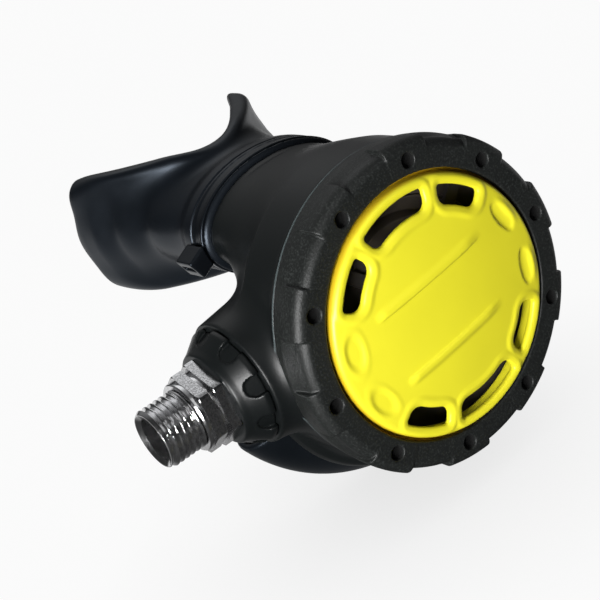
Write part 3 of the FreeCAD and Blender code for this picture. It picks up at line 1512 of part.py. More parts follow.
def mouthpiece_tie():
    """The nylon tie in the sleeve's groove, with its head at the -X side."""
    wall = float(of.sleeve_wall) + 0.05
    thickness = float(of.tie_thickness)
    front = float(of.tie_start)
    back = front + float(of.tie_width)
    band = sleeve_oval(wall + thickness, front, back).cut(sleeve_oval(wall, front - 1, back + 1))
    core = sleeve_oval(wall, front - 3, back + 3)
    over_bead = float(of.sleeve_wall) + float(of.bead_step)
    bead = sleeve_oval(over_bead + float(of.seat_gap), front - 3, back + 3)
    bead = bead.cut(sleeve_oval(over_bead + 9, front, back))
    shape = band.fuse(tie_head((front + back) / 2, thickness + wall).cut([core, bead]))
    return keep("mouthpiece_tie", worked("mouthpiece_tie", shape))


def tie_head(middle, over_tube):
    """The tie's head: a rounded block with a slot in its outer face, tilted below the tube's side."""
    width = float(of.tie_head_width)
    high = float(of.tie_head_height)
    out = float(of.tie_head_thickness)
    inside = 0.8
    head = Part.makeBox(out + inside, width, high, Vector(-out, -width / 2, -high / 2))
    head = head.makeFillet(0.5, head.Edges)
    slot_width = float(of.tie_width)
    slot = Part.makeBox(out + 2, slot_width, 1.6, Vector(-out - 1, -slot_width / 2, -0.8))
    head = head.cut(slot)
    head.rotate(Vector(), Vector(0, 1, 0), -float(of.tie_head_tilt))
    reach = float(of.tube_half_width) + over_tube
    head.translate(Vector(-reach, middle + 0.4, float(of.tube_height) - 1.2))
    return head


def check_pieces():
    """Stops if an object failed or a piece has no sound shape."""
    for thing in doc.Objects:
        if "Invalid" in thing.State or "Error" in thing.State:
            raise RuntimeError("%s is in state %s" % (thing.Name, thing.State))
    for name, thing in pieces.items():
        shape = thing.Shape
        if shape.isNull() or not shape.isValid():
            raise RuntimeError("%s has no sound shape" % name)
        print("%-18s %d solid(s) %9.1f mm3" % (name, len(shape.Solids), shape.Volume))


front_ring()
housing()
slip_ring()
purge_guide()
diaphragm()
diaphragm_plate()
purge_cover()
purge_spring()
valve_barrel()
inlet_collar()
barrel_lock_nut()
barrel_seal()
orifice()
orifice_seal()
poppet()
poppet_seat()
valve_spring()
lever_washer()
poppet_nut()
demand_lever()
air_deflector()
exhaust_valve()
exhaust_diffuser()
mouthpiece()
mouthpiece_tie()
doc.recompute()
check_pieces()

os.makedirs("parts", exist_ok=True)
for name, thing in pieces.items():
    thing.Shape.exportStep(os.path.join("parts", name + ".step"))
print("%d pieces written" % len(pieces))
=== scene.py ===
"""Looks of a diver's demand valve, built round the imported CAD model.

Shapes are worked out in millimetres, in the row's frame: +Z up, -Y out of the front face and -X along
the inlet.
"""
import math

import bpy
import numpy as np
from mathutils import Matrix, Vector


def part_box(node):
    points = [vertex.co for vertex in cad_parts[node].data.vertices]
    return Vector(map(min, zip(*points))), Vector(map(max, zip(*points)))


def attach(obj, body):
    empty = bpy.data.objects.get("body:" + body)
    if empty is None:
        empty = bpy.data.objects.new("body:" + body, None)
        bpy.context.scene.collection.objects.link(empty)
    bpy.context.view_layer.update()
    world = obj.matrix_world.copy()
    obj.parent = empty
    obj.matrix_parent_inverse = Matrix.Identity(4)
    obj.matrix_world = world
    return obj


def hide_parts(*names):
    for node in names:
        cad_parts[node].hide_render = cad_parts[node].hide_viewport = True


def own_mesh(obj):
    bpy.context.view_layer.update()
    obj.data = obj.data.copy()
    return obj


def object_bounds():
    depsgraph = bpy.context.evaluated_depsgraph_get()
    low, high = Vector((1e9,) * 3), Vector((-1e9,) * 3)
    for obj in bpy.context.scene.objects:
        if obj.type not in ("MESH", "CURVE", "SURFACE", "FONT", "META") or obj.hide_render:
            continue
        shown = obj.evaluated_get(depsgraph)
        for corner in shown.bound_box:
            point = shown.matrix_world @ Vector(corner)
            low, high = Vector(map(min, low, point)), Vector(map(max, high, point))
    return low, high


bl_info = {
    "name": "Demand Valve",
    "version": (1, 0, 0),
    "blender": (4, 5, 0),
    "location": "View3D > Sidebar > Demand Valve",
    "description": "Builds the moulded, turned and soft pieces of a diver's demand valve and its stage",
    "category": "Object",
}

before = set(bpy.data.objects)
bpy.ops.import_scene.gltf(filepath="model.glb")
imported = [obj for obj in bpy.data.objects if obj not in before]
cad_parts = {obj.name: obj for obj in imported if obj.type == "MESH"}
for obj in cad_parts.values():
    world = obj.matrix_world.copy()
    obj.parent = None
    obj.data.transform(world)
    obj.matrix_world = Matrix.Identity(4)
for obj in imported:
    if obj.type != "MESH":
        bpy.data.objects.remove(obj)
CAD_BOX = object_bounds()


def node_box(name, margin=0.0):
    """Lowest and highest corners of a CAD node's box with a margin, in millimetres."""
    low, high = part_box(name)
    return np.array(low) * 1000 - margin, np.array(high) * 1000 + margin


MOUTH_LOW, MOUTH_HIGH = node_box("mouthpiece")
BARREL_LOW, BARREL_HIGH = node_box("valve_barrel")
TUBE_HEIGHT = (MOUTH_LOW[2] + MOUTH_HIGH[2]) / 2
INLET_DEPTH = (BARREL_LOW[1] + BARREL_HIGH[1]) / 2
INLET_MIDDLE = np.array([0, INLET_DEPTH, 0])
RING_DEPTH = node_box("front_ring")[1][1]
RING_RADIUS = 37.7
TUBE_WALL = 1.9


# Sizes and colours

def length(name, description, millimetres):
    return bpy.props.FloatProperty(name=name, description=description, default=millimetres / 1000,
                                   unit="LENGTH", precision=5)


def angle(name, description, degrees):
    return bpy.props.FloatProperty(name=name, description=description, default=math.radians(degrees),
                                   subtype="ANGLE")


def colour(name, description, red, green, blue):
    return bpy.props.FloatVectorProperty(name=name, description=description, default=(red, green, blue),
                                         size=3, min=0.0, max=1.0, subtype="COLOR")


class ValveMouldedSizes(bpy.types.PropertyGroup):
    """Sizes of the ring, the purge cover and the housing."""
    ring_opening: length("Ring opening", "Radius of the front ring's opening", 30.2)
    ring_face: length("Ring face", "Outer radius of the front ring's face", 36.4)
    spanner_circle: length("Spanner circle", "Radius of the circle of spanner holes", 33.3)
    spanner_hole: length("Spanner hole", "Radius of a spanner hole", 1.75)
    scoop_inner: length("Scoop start", "Radius at which a grip scoop starts on the face", 34.5)
    scoop_floor: length("Scoop floor", "Greatest radius of a grip scoop's floor", 36.6)
    face_turn: angle("Face turn", "Turn of the first spanner hole from the side away from the inlet", 9.2)
    cover_radius: length("Cover radius", "Radius of the purge cover's edge", 29.3)
    cover_rise: length("Cover rise", "How far the purge cover's middle stands out of the ring's face", 3.0)
    bowl_radius: length("Bowl radius", "Radius of the housing's bowl", 36.2)
    bowl_depth: length("Bowl depth", "Depth at which the neck starts", 23.5)
    neck_end: length("Neck end", "Depth at which the neck ends", 46.5)
    tube_half_width: length("Tube half width", "Half width of the mouth tube", 20.3)
    tube_half_height: length("Tube half height", "Half height of the mouth tube", 11.5)
    wall: length("Wall", "Thickness of the housing's wall", 2.6)


class ValveSoftSizes(bpy.types.PropertyGroup):
    """Sizes of the mouthpiece and the exhaust diffuser."""
    flange_half_width: length("Flange half width", "Half width of the mouthpiece's flange", 30.1)
    flange_half_height: length("Flange half height", "Half height of the mouthpiece's flange", 17.0)
    flange_depth: length("Flange depth", "Depth of the flange's middle", 69.0)
    flange_sweep: length("Flange sweep", "How far the flange's ends reach behind its middle", 31.0)
    flange_thickness: length("Flange thickness", "Thickness of the flange", 3.0)
    sleeve_wall: length("Sleeve wall", "Thickness of the sleeve on the mouth tube", 1.6)
    diffuser_reach: length("Diffuser reach", "Reach of the diffuser from the ring's axis", 46.2)
    diffuser_sweep: angle("Diffuser sweep", "Sweep of the diffuser to each side", 61.0)
    diffuser_wall: length("Diffuser wall", "Thickness of the diffuser", 1.8)


class ValveColours(bpy.types.PropertyGroup):
    """Colours of the pieces."""
    cover: colour("Purge cover", "Colour of the purge cover", 0.86, 0.79, 0.028)
    # Painted shade: the darker amber of the cover's outer edge, where the ring shades it.
    cover_edge_shade: colour("Cover edge", "Colour of the purge cover's thin outer edge", 0.60, 0.36, 0.010)
    ring: colour("Front ring", "Colour of the front ring's plastic", 0.0105, 0.0118, 0.0112)
    housing: colour("Housing", "Colour of the housing's plastic", 0.0050, 0.0062, 0.0064)
    rubber: colour("Rubber", "Colour of the diffuser's rubber", 0.0030, 0.0040, 0.0052)
    silicone: colour("Silicone", "Colour of the mouthpiece's silicone", 0.0040, 0.0052, 0.0070)
    nylon: colour("Tie", "Colour of the tie's nylon", 0.0035, 0.0043, 0.0055)
    chrome: colour("Chrome", "Colour of the chromed brass", 0.80, 0.80, 0.81)
    brass: colour("Brass", "Colour of the orifice's brass", 0.70, 0.50, 0.22)
    steel: colour("Steel", "Colour of the steel pieces", 0.56, 0.55, 0.53)
    guide: colour("Purge guide", "Colour of the purge guide's plastic", 0.045, 0.040, 0.036)
    diaphragm: colour("Diaphragm", "Colour of the diaphragm's silicone", 0.060, 0.050, 0.042)


def mm(group, *names):
    """Lengths of a property group, in millimetres."""
    return [getattr(group, name) * 1000 for name in names]


# Signed distances, in millimetres, negative inside

def smooth_max(a, b, blend):
    gap = np.maximum(blend - np.abs(a - b), 0) / blend
    return np.maximum(a, b) + gap * gap * blend * 0.25


def smooth_min(a, b, blend):
    return -smooth_max(-a, -b, blend)


def joined(first, *others):
    """A distance joined with others. Each of the others comes with its blend."""
    for other, blend in others:
        first = smooth_min(first, other, blend)
    return first


def shared(first, *others):
    """The part that a distance shares with others. Each of the others comes with its blend."""
    for other, blend in others:
        first = smooth_max(first, other, blend)
    return first


def cut(first, *others):
    """A distance with others cut out of it. Each of the others comes with its blend."""
    return shared(first, *[(-other, blend) for other, blend in others])


def smooth(share):
    share = np.clip(share, 0, 1)
    return share * share * (3 - 2 * share)


def mix(first, last, share):
    return first + (last - first) * share


def oval_share(across, up, half_width, half_height):
    """How far out a point lies, as a share of the way to an oval's outline."""
    return np.sqrt((across / half_width) ** 2 + (up / half_height) ** 2)


def oval(across, up, half_width, half_height):
    """Distance to an oval outline, true to first order near the outline."""
    reach = oval_share(across, up, half_width, half_height) + 1e-6
    slope = oval_share(across, up, half_width ** 2, half_height ** 2) / reach + 1e-6
    return np.minimum((reach - 1) / slope, reach * 1e3)


def between(value, low, high):
    return np.maximum(low - value, value - high)


def off_centre(around, degrees):
    """Angle from a direction given in degrees, at most half a turn each way."""
    return (around - math.radians(degrees) + math.pi) % (2 * math.pi) - math.pi


def rounded_box(across, up, half_width, half_height, corner):
    right = np.abs(across) - half_width + corner
    top = np.abs(up) - half_height + corner
    outside = np.hypot(np.maximum(right, 0), np.maximum(top, 0))
    return outside + np.minimum(np.maximum(right, top), 0) - corner


def round_max(a, b, corner):
    """The part that two distances share, with a round corner of a given radius."""
    outside = np.hypot(np.maximum(a + corner, 0), np.maximum(b + corner, 0)) - corner
    return np.where((a > -corner) & (b > -corner), outside, np.maximum(a, b))


def rod(x, y, z, start, direction, radius, low, high):
    """A cylinder on an axis through start, between two heights on it."""
    direction = np.array(direction, float) / np.linalg.norm(direction)
    dx, dy, dz = x - start[0], y - start[1], z - start[2]
    along = dx * direction[0] + dy * direction[1] + dz * direction[2]
    out = np.sqrt(np.maximum(dx * dx + dy * dy + dz * dz - along * along, 0)) - radius
    return smooth_max(out, between(along, low, high), 0.3)


def arc_points(start, end, radius, count=14):
    """Points on an arc between two points of an outline. A negative radius bends it the other way."""
    start, end = np.array(start, float), np.array(end, float)
    chord = end - start
    half = np.linalg.norm(chord) / 2
    normal = np.array([-chord[1], chord[0]]) / (2 * half)
    centre = (start + end) / 2 + normal * math.copysign(math.sqrt(radius * radius - half * half), radius)
    first = math.atan2(*(start - centre)[::-1])
    last = math.atan2(*(end - centre)[::-1])
    sweep = (last - first + math.pi) % (2 * math.pi) - math.pi
    turns = first + sweep * np.linspace(0, 1, count)
    return [tuple(centre + abs(radius) * np.array([math.cos(t), math.sin(t)])) for t in turns]


class Turned:
    """The distance to a turned outline with slightly round corners, from a table over its half plane."""
    margin = 4.0

    def __init__(self, corners, rounding, step=0.1):
        corners = np.array(corners, float)
        self.step = step
        self.low = corners.min(0) - self.margin
        counts = np.ceil((corners.max(0) + self.margin - self.low) / step).astype(int) + 1
        u = self.low[0] + step * np.arange(counts[0])
        v = self.low[1] + step * np.arange(counts[1])
        u, v = np.meshgrid(u, v, indexing="ij")
        self.table = self.soften(self.outline(corners, u, v), rounding / step)

    @staticmethod
    def outline(corners, u, v):
        nearest = np.full(u.shape, 1e9)
        inside = np.zeros(u.shape, bool)
        for (au, av), (bu, bv) in zip(corners, np.roll(corners, -1, 0)):
            eu, ev = bu - au, bv - av
            share = np.clip(((u - au) * eu + (v - av) * ev) / (eu * eu + ev * ev), 0, 1)
            nearest = np.minimum(nearest, np.hypot(u - au - share * eu, v - av - share * ev))
            if av != bv:
                crosses = (av > v) != (bv > v)
                inside ^= crosses & (u < au + (v - av) * eu / ev)
        return np.where(inside, -nearest, nearest)

    @staticmethod
    def soften(table, spread):
        """The table blurred each way, which rounds the corners."""
        reach = int(3 * spread) + 1
        weights = np.exp(-0.5 * (np.arange(-reach, reach + 1) / spread) ** 2)
        weights /= weights.sum()
        for axis in (0, 1):
            padded = np.pad(table, [(reach, reach) if a == axis else (0, 0) for a in (0, 1)], mode="edge")
            count = table.shape[axis]
            table = sum(np.take(padded, range(i, i + count), axis) * w for i, w in enumerate(weights))
        return table

    def __call__(self, u, v):
        u = np.clip((u - self.low[0]) / self.step, 0, self.table.shape[0] - 1.001)
        v = np.clip((v - self.low[1]) / self.step, 0, self.table.shape[1] - 1.001)
        i, j = u.astype(int), v.astype(int)
        u, v = u - i, v - j
        t = self.table
        near = t[i, j] * (1 - u) + t[i + 1, j] * u
        far = t[i, j + 1] * (1 - u) + t[i + 1, j + 1] * u
        return near * (1 - v) + far * v


# Meshes

CUBE = np.array([(a, b, c) for a in (0, 1) for b in (0, 1) for c in (0, 1)])
CUBE_EDGES = [(i, j) for i in range(8) for j in range(i + 1, 8) if np.abs(CUBE[i] - CUBE[j]).sum() == 1]


def net(distance, low, high, step):
    """Points and four-sided faces of the surface on which a distance is zero, inside a box."""
    low, high = np.array(low, float), np.array(high, float)
    counts = np.ceil((high - low) / step).astype(int) + 1
    axes = [low[i] + step * np.arange(counts[i]) for i in range(3)]
    values = distance(*np.meshgrid(*axes, indexing="ij"))
    inside = values < 0
    cells = counts - 1
    total = np.zeros(cells, np.int8)
    for a, b, c in CUBE:
        total += inside[a:cells[0] + a, b:cells[1] + b, c:cells[2] + c]
    active = (total > 0) & (total < 8)
    number = np.full(cells, -1)
    number[active] = np.arange(active.sum())
    cubes = np.argwhere(active)
    corner_values = np.stack([values[tuple((cubes + corner).T)] for corner in CUBE], 1)
    sums = np.zeros((len(cubes), 3))
    hits = np.zeros(len(cubes))
    for i, j in CUBE_EDGES:
        a, b = corner_values[:, i], corner_values[:, j]
        crossed = (a < 0) != (b < 0)
        share = np.where(crossed, a / np.where(crossed, a - b, 1), 0)
        sums += np.where(crossed[:, None], CUBE[i] + share[:, None] * (CUBE[j] - CUBE[i]), 0)
        hits += crossed
    points = low + (cubes + sums / hits[:, None]) * step
    points = settle(distance, points, step)
    faces = []
    for axis in range(3):
        b, c = (axis + 1) % 3, (axis + 2) % 3
        first = np.moveaxis(inside, (axis, b, c), (0, 1, 2))
        index = np.moveaxis(number, (axis, b, c), (0, 1, 2))
        start, end = first[:-1, 1:-1, 1:-1], first[1:, 1:-1, 1:-1]
        corners = (index[:, 1:, 1:], index[:, :-1, 1:], index[:, :-1, :-1], index[:, 1:, :-1])
        for leaving, order in ((start & ~end, (0, 1, 2, 3)), (~start & end, (3, 2, 1, 0))):
            faces.append(np.stack([corners[k][leaving] for k in order], 1))
    return points, np.concatenate(faces)


def settle(distance, points, step):
    """Moves points onto the surface in three rounds, each by at most half a step a round."""
    reach = step * 0.08
    for _ in range(3):
        slopes = []
        for axis in range(3):
            shift = np.zeros(3)
            shift[axis] = reach
            slopes.append((distance(*(points + shift).T) - distance(*(points - shift).T)) / (2 * reach))
        slope = np.stack(slopes, 1)
        move = -distance(*points.T)[:, None] * slope / np.maximum((slope ** 2).sum(1), 0.05)[:, None]
        size = np.linalg.norm(move, axis=1, keepdims=True)
        points = points + move * np.minimum(1, 0.5 * step / np.maximum(size, 1e-9))
    return points


def mesh_object(name, points, faces, smooth_shade=True):
    """A Blender object from points in millimetres and faces that all have as many corners."""
    faces = np.asarray(faces)
    sides = faces.shape[1]
    mesh = bpy.data.meshes.new(name)
    mesh.vertices.add(len(points))
    mesh.vertices.foreach_set("co", (np.asarray(points) / 1000).astype(np.float32).ravel())
    mesh.loops.add(faces.size)
    mesh.loops.foreach_set("vertex_index", faces.astype(np.int32).ravel())
    mesh.polygons.add(len(faces))
    mesh.polygons.foreach_set("loop_start", np.arange(0, faces.size, sides, dtype=np.int32))
    mesh.polygons.foreach_set("loop_total", np.full(len(faces), sides, np.int32))
    mesh.update(calc_edges=True)
    mesh.validate()
    mesh.polygons.foreach_set("use_smooth", np.full(len(mesh.polygons), smooth_shade))
    obj = bpy.data.objects.new(name, mesh)
    bpy.context.scene.collection.objects.link(obj)
    return obj


def moulded(name, distance, box, step, quick_step=None):
    if quick_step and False:
        step = quick_step
    return mesh_object(name, *net(distance, *box, step))


def grid_faces(rows, columns):
    """Faces of a grid of points, row by row, closed both ways."""
    i, j = [a.ravel() for a in np.meshgrid(np.arange(rows), np.arange(columns), indexing="ij")]
    down, right = (i + 1) % rows, (j + 1) % columns
    return np.stack([i * columns + right, down * columns + right, down * columns + j, i * columns + j], 1)


def place(obj, body, material, replaced=()):
    """Puts a finished piece on its body and the CAD nodes it stands for."""
    obj.data.materials.append(material)
    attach(obj, body)
    if replaced:
        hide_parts(*replaced)


# Materials

class Signal:
    """A socket in a tree of nodes, for maths written as an expression."""

    def __init__(self, tree, socket=None):
        self.tree = tree
        self.socket = socket

    def node(self, kind, values=None, output=0, **settings):
        """An output of a new node, from its type, the values or links of its sockets and its settings."""
        made = self.tree.nodes.new(kind)
        for key, value in settings.items():
            setattr(made, key, value)
        for key, value in (values or {}).items():
            if isinstance(value, Signal):
                self.tree.links.new(value.socket, made.inputs[key])
            else:
                made.inputs[key].default_value = value
        return Signal(self.tree, made.outputs[output])

    def output(self, name):
        """Another output of the same node."""
        return Signal(self.tree, self.socket.node.outputs[name])

    def maths(self, operation, *others):
        return self.node("ShaderNodeMath", {0: self, **dict(enumerate(others, 1))}, operation=operation)

    def __add__(self, other):
        return self.maths("ADD", other)

    def __sub__(self, other):
        return self.maths("SUBTRACT", other)

    def __mul__(self, other):
        return self.maths("MULTIPLY", other)

    def __rsub__(self, other):
        return (self * -1) + other

    __radd__ = __add__
    __rmul__ = __mul__

    def within(self, low, high):
        """0 below low, 1 above high, and even between them."""
        values = {"Value": self, "From Min": low, "From Max": high}
        return self.node("ShaderNodeMapRange", values, clamp=True)

    def along(self, direction):
        """How far a vector runs along a direction."""
        return self.node("ShaderNodeVectorMath", {0: self, 1: direction}, 1, operation="DOT_PRODUCT")


class Finish:
    """A material under way: its shader, and coordinates in the row's frame."""

    def __init__(self, name, **constants):
        self.material = bpy.data.materials.new(name)
        self.material.use_nodes = True
        self.tree = self.material.node_tree
        self.shader = self.tree.nodes["Principled BSDF"]
        for key, value in constants.items():
            self.shader.inputs[key.replace("_", " ")].default_value = value
        self.place = Signal(self.tree).node("ShaderNodeTexCoord", output="Object")
        self.normal = None

    def noise(self, scale, detail=2.0, roughness=0.5):
        return self.place.node("ShaderNodeTexNoise", {
            "Vector": self.place, "Scale": scale, "Detail": detail, "Roughness": roughness})

    def turned(self):
        """Distance from the ring's axis and depth along it, in metres."""
        across = self.place.node("ShaderNodeSeparateXYZ", {0: self.place})
        up = across.output("Z")
        return (across * across + up * up).maths("SQRT"), across.output("Y")

    def blend(self, share, first, last):
        """A colour between two colours."""
        return self.place.node("ShaderNodeMix", {0: share, 6: first, 7: last}, 2, data_type="RGBA")

    def bump(self, height, strength, distance):
        """Adds a layer of relief. Distance is in metres."""
        self.normal = self.place.node("ShaderNodeBump", {
            "Height": height, "Strength": strength, "Distance": distance})

    def use(self, **signals):
        """The finished material, with a signal on each named socket of its shader."""
        if self.normal:
            signals["Normal"] = self.normal
        for key, signal in signals.items():
            self.tree.links.new(signal.socket, self.shader.inputs[key.replace("_", " ")])
        return self.material


def rgba(shade, factor=1.0):
    return (shade[0] * factor, shade[1] * factor, shade[2] * factor, 1.0)


def ring_plastic(name, shade, roughness):
    """Black plastic with a fine spark-eroded grain, and painted shade on the rougher walls of its holes."""
    finish = Finish(name, Specular_IOR_Level=0.4)
    grain = finish.noise(2300.0, 3.0, 0.6)
    cloud = finish.noise(90.0)
    radius, depth = finish.turned()
    # Mask of the spanner holes' walls below the face, where shade is painted.
    holes = radius.within(0.0311, 0.0314) * (1 - radius.within(0.0352, 0.0355))
    holes = depth.within(0.0004, 0.0008) * holes
    tone = finish.blend(grain.within(0.50, 0.72), rgba(shade, 0.85), rgba(shade, 3.2))
    # Painted shade: the holes' walls are painted a tenth as bright as the plastic.
    tone = finish.blend(holes, tone, rgba(shade, 0.1))
    finish.bump(grain, 0.7, 0.0001)
    rough = cloud.within(0.3, 0.7) * 0.08 + (grain * 0.10 + roughness - 0.06)
    return finish.use(Base_Color=tone, Roughness=rough + holes * 0.5)


def nearly_smooth(finish, shade, roughness, relief, darkest, palest):
    """Tone and roughness of nearly smooth moulded plastic. The tone lies between two shares of a colour."""
    fine = finish.noise(2600.0)
    cloud = finish.noise(70.0)
    finish.bump(fine, 0.35, relief)
    tone = finish.blend(cloud.within(0.3, 0.7), rgba(shade, darkest), rgba(shade, palest))
    return tone, fine * 0.06 + (cloud * 0.08 + roughness - 0.07)


def satin_plastic(name, shade, roughness, relief=0.00002, seam_highlight=None):
    """Plain moulded plastic. A seam highlight is a depth, and two radii between which a thin band is painted
    paler, as a painted highlight.
    """
    finish = Finish(name, Specular_IOR_Level=0.3)
    tone, rough = nearly_smooth(finish, shade, roughness, relief, 0.94, 1.05)
    if seam_highlight:
        seam_depth, inner, outer = seam_highlight
        radius, depth = finish.turned()
        near = 1 - (depth - seam_depth).maths("ABSOLUTE").within(0.0001, 0.0003)
        near = near * radius.within(inner, inner + 0.0002) * (1 - radius.within(outer, outer + 0.0002))
        # Painted highlight: the thin band at the seam with the ring is thirteen times paler.
        tone = finish.blend(near, tone, rgba(shade, 13.0))
    return finish.use(Base_Color=tone, Roughness=rough)


def cover_plastic(name, colours, roughness):
    """The cover's plastic, with painted shade: a darker amber round its outer edge, next to the ring."""
    finish = Finish(name)
    tone, rough = nearly_smooth(finish, colours.cover, roughness, 0.00001, 0.97, 1.02)
    radius, _ = finish.turned()
    # Painted shade round the outer edge, next to the ring.
    tone = finish.blend(radius.within(0.0288, 0.0294), tone, rgba(colours.cover_edge_shade))
    return finish.use(Base_Color=tone, Roughness=rough)


def soft_rubber(name, shade, roughness):
    """Moulded rubber or silicone, with faint smears where it is handled."""
    finish = Finish(name, Specular_IOR_Level=0.35, Specular_Tint=(0.72, 0.84, 1.0, 1.0))
    smear = finish.noise(55.0, 3.0, 0.6)
    fine = finish.noise(1800.0)
    finish.bump(fine, 0.25, 0.00002)
    tone = finish.blend(smear.within(0.35, 0.75), rgba(shade, 0.9), rgba(shade, 1.2))
    return finish.use(Base_Color=tone, Roughness=smear.within(0.3, 0.75) * 0.12 + (fine * 0.04 + roughness))


def metal(name, shade, roughness, speckle=0.1, relief=0.00001, scale=900.0, dull=0.86):
    """Plated or turned metal, with fine specks and a little cloudiness."""
    finish = Finish(name, Metallic=1.0)
    specks = finish.noise(scale, 4.0, 0.65)
    cloud = finish.noise(160.0)
    finish.bump(specks, 0.4, relief)
    tone = finish.blend(specks.within(0.35, 0.7), rgba(shade, dull), rgba(shade, 1.06))
    rough = specks.within(0.4, 0.75) * speckle + (cloud * 0.06 + roughness - 0.02)
    return finish.use(Base_Color=tone, Roughness=rough)


# Front ring

HOLE_DEPTH = 1.7
NOTCH_ANGLE = math.atan2(-2.4, -37.2)
NOTCH_DEPTH = 7.7


def ring_distance(sizes):
    opening, face, circle, hole, start, floor = mm(
        sizes, "ring_opening", "ring_face", "spanner_circle", "spanner_hole", "scoop_inner", "scoop_floor")
    profile = Turned([
        (opening, 0), *arc_points((face - 0.9, 0), (RING_RADIUS, 2.7), 2.5, 8),
        (RING_RADIUS, 5.0), (RING_RADIUS - 0.5, RING_DEPTH),
        (34.8, RING_DEPTH), (34.8, 4.6), (33.3, 4.6), (33.3, 5.2), (31.9, 5.2), (31.9, 2.2), (opening, 2.2),
    ], 0.22)
    scoop_floor = Turned([(0, 0), *arc_points((start, 0), (floor, 2.5), 2.9, 8), (floor, 3.4),
                          (RING_RADIUS + 0.2, 8.4), (RING_RADIUS + 0.2, 12), (0, 12)], 0.2)
    turn = sizes.face_turn
    pitch = math.radians(36)
    half_scoop = math.radians(9)

    def distance(x, y, z):
        radius = np.hypot(x, z)
        around = np.arctan2(z, x) - turn
        # A scoop runs from a crease on the face over the rounded edge, between two ends square to the rim.
        off_scoop = np.abs((around % pitch) - pitch / 2)
        scoop = smooth_max(-scoop_floor(radius, y), (off_scoop - half_scoop) * radius, 0.25)
        off_hole = ((around + pitch / 2) % pitch) - pitch / 2
        out = np.hypot(radius * np.sin(off_hole), radius * np.cos(off_hole) - circle)
        drilled = smooth_max(out - hole, y - HOLE_DEPTH, 0.1)
        # A small notch in the ring's side, by the lower spanner hole on the inlet's side.
        notch = rounded_box((np.arctan2(z, x) - NOTCH_ANGLE) * radius, y - NOTCH_DEPTH, 1.1, 0.35, 0.2)
        notch = np.maximum(notch, RING_RADIUS - 0.5 - radius)
        return cut(profile(radius, y), (scoop, 0.25), (drilled, 0.15), (notch, 0.2))

    return distance


# Purge cover

DOME_RADIUS = 192.0
# Middles and half span in degrees, inner and outer radius.
SLOTS = (((98.5, 278.5), 20.0, 22.1, 26.9), ((57.0, 140.0, 237.0, 320.0), 13.0, 22.2, 26.7))
LEFT_DIMPLES = (173.0, 205.0)
RIGHT_DIMPLES = (24.0, 352.0)
DIMPLE_CIRCLE = 25.0
DIMPLE_ARC = 25.2
# Both ends, and the side on which the ridge falls off.
RIDGES = (((-17.9, 6.1), (15.1, 9.7), 1), ((-16.1, -9.2), (14.5, -5.6), -1))


def slot_distance(radius, around, middle, half_span, inner, outer):
    """Distance to a slot, a part of a ring with straight ends. Its inner corners are the rounder ones."""
    end = (np.abs(off_centre(around, middle)) - math.radians(half_span)) * radius
    return np.maximum(round_max(end, radius - outer, 0.9), round_max(end, inner - radius, 2.3))


def dome_drop(radius):
    """How far the dome falls from its middle to a radius."""
    return DOME_RADIUS - math.sqrt(DOME_RADIUS ** 2 - radius ** 2)


def cover_distance(sizes):
    edge, rise = mm(sizes, "cover_radius", "cover_rise")
    lip = (edge - 1.2, -rise + dome_drop(edge - 1.2))
    outside = arc_points((0, -rise), lip, DOME_RADIUS)
    outside += arc_points(lip, (edge, lip[1] + 1.5), 1.35, 6)[1:]
    inner_edge = edge - 1.9
    inside_top = -rise + 1.7
    flange = [(edge, 2.5), (30.9, 2.5), (30.9, 3.5), (inner_edge, 3.5)]
    inside = arc_points((inner_edge, inside_top + dome_drop(inner_edge)), (4.0, inside_top), -DOME_RADIUS)
    corners = outside + flange + inside + [(4.0, 8.0), (0, 8.0)]
    # The outline is mirrored, so that its table is even across the axis.
    mirrored = [(-u, v) for u, v in corners[::-1] if u > 0]
    profile = Turned(corners + mirrored, 0.2)

    def distance(x, y, z):
        radius = np.hypot(x, z)
        around = np.arctan2(z, x)
        depth = DOME_RADIUS - rise - np.sqrt(np.maximum(DOME_RADIUS ** 2 - radius ** 2, 1))
        relief = np.zeros(np.shape(x))
        for (ax, az), (bx, bz), side in RIDGES:
            run = math.hypot(bx - ax, bz - az)
            ux, uz = (bx - ax) / run, (bz - az) / run
            along = (x - ax) * ux + (z - az) * uz
            off = ((z - az) * ux - (x - ax) * uz) * side
            fade = smooth(along / 3.0) * smooth((run - along) / 6.0)
            # The ridge has a step on the side of the middle and falls off outward.
            step = smooth((off + 0.25) / 0.4) * (1 - smooth((off - 0.9) / 1.7))
            relief += 0.6 * fade * step
        for middle in LEFT_DIMPLES:
            dent = oval_share(off_centre(around, middle) * DIMPLE_ARC, radius - DIMPLE_CIRCLE, 4.3, 2.3)
            relief -= 0.38 * (1 - smooth((dent - 0.55) / 0.55))
            relief += 0.10 * (1 - smooth(np.abs(dent - 1.2) / 0.4))
        for middle in RIGHT_DIMPLES:
            off = off_centre(around, middle) * DIMPLE_ARC
            dent = oval_share(off, radius - DIMPLE_CIRCLE, 4.6, 2.2)
            # The floor falls towards the middle, where its edge is sharp, and the outer side swells.
            floor = 1 - smooth((dent - 0.72) / 0.34)
            relief -= 0.70 * floor * (1 - smooth((radius - 23.4) / 4.2))
            swell = oval_share(off, radius - 27.0, 4.8, 1.3)
            relief += 0.38 * (1 - smooth((swell - 0.1) / 0.95))
        slots = np.full(np.shape(x), 1e3)
        for middles, half_span, inner, outer in SLOTS:
            for middle in middles:
                slots = np.minimum(slots, slot_distance(radius, around, middle, half_span, inner, outer))
        relief += 0.30 * (1 - smooth(np.abs(slots - 1.5) / 1.3))
        outer_skin = smooth(1 - (y - depth - 0.3) / 1.0)
        return cut(profile(radius, y + relief * outer_skin), (np.maximum(slots, y - 2.4), 0.7))

    return distance


# Housing

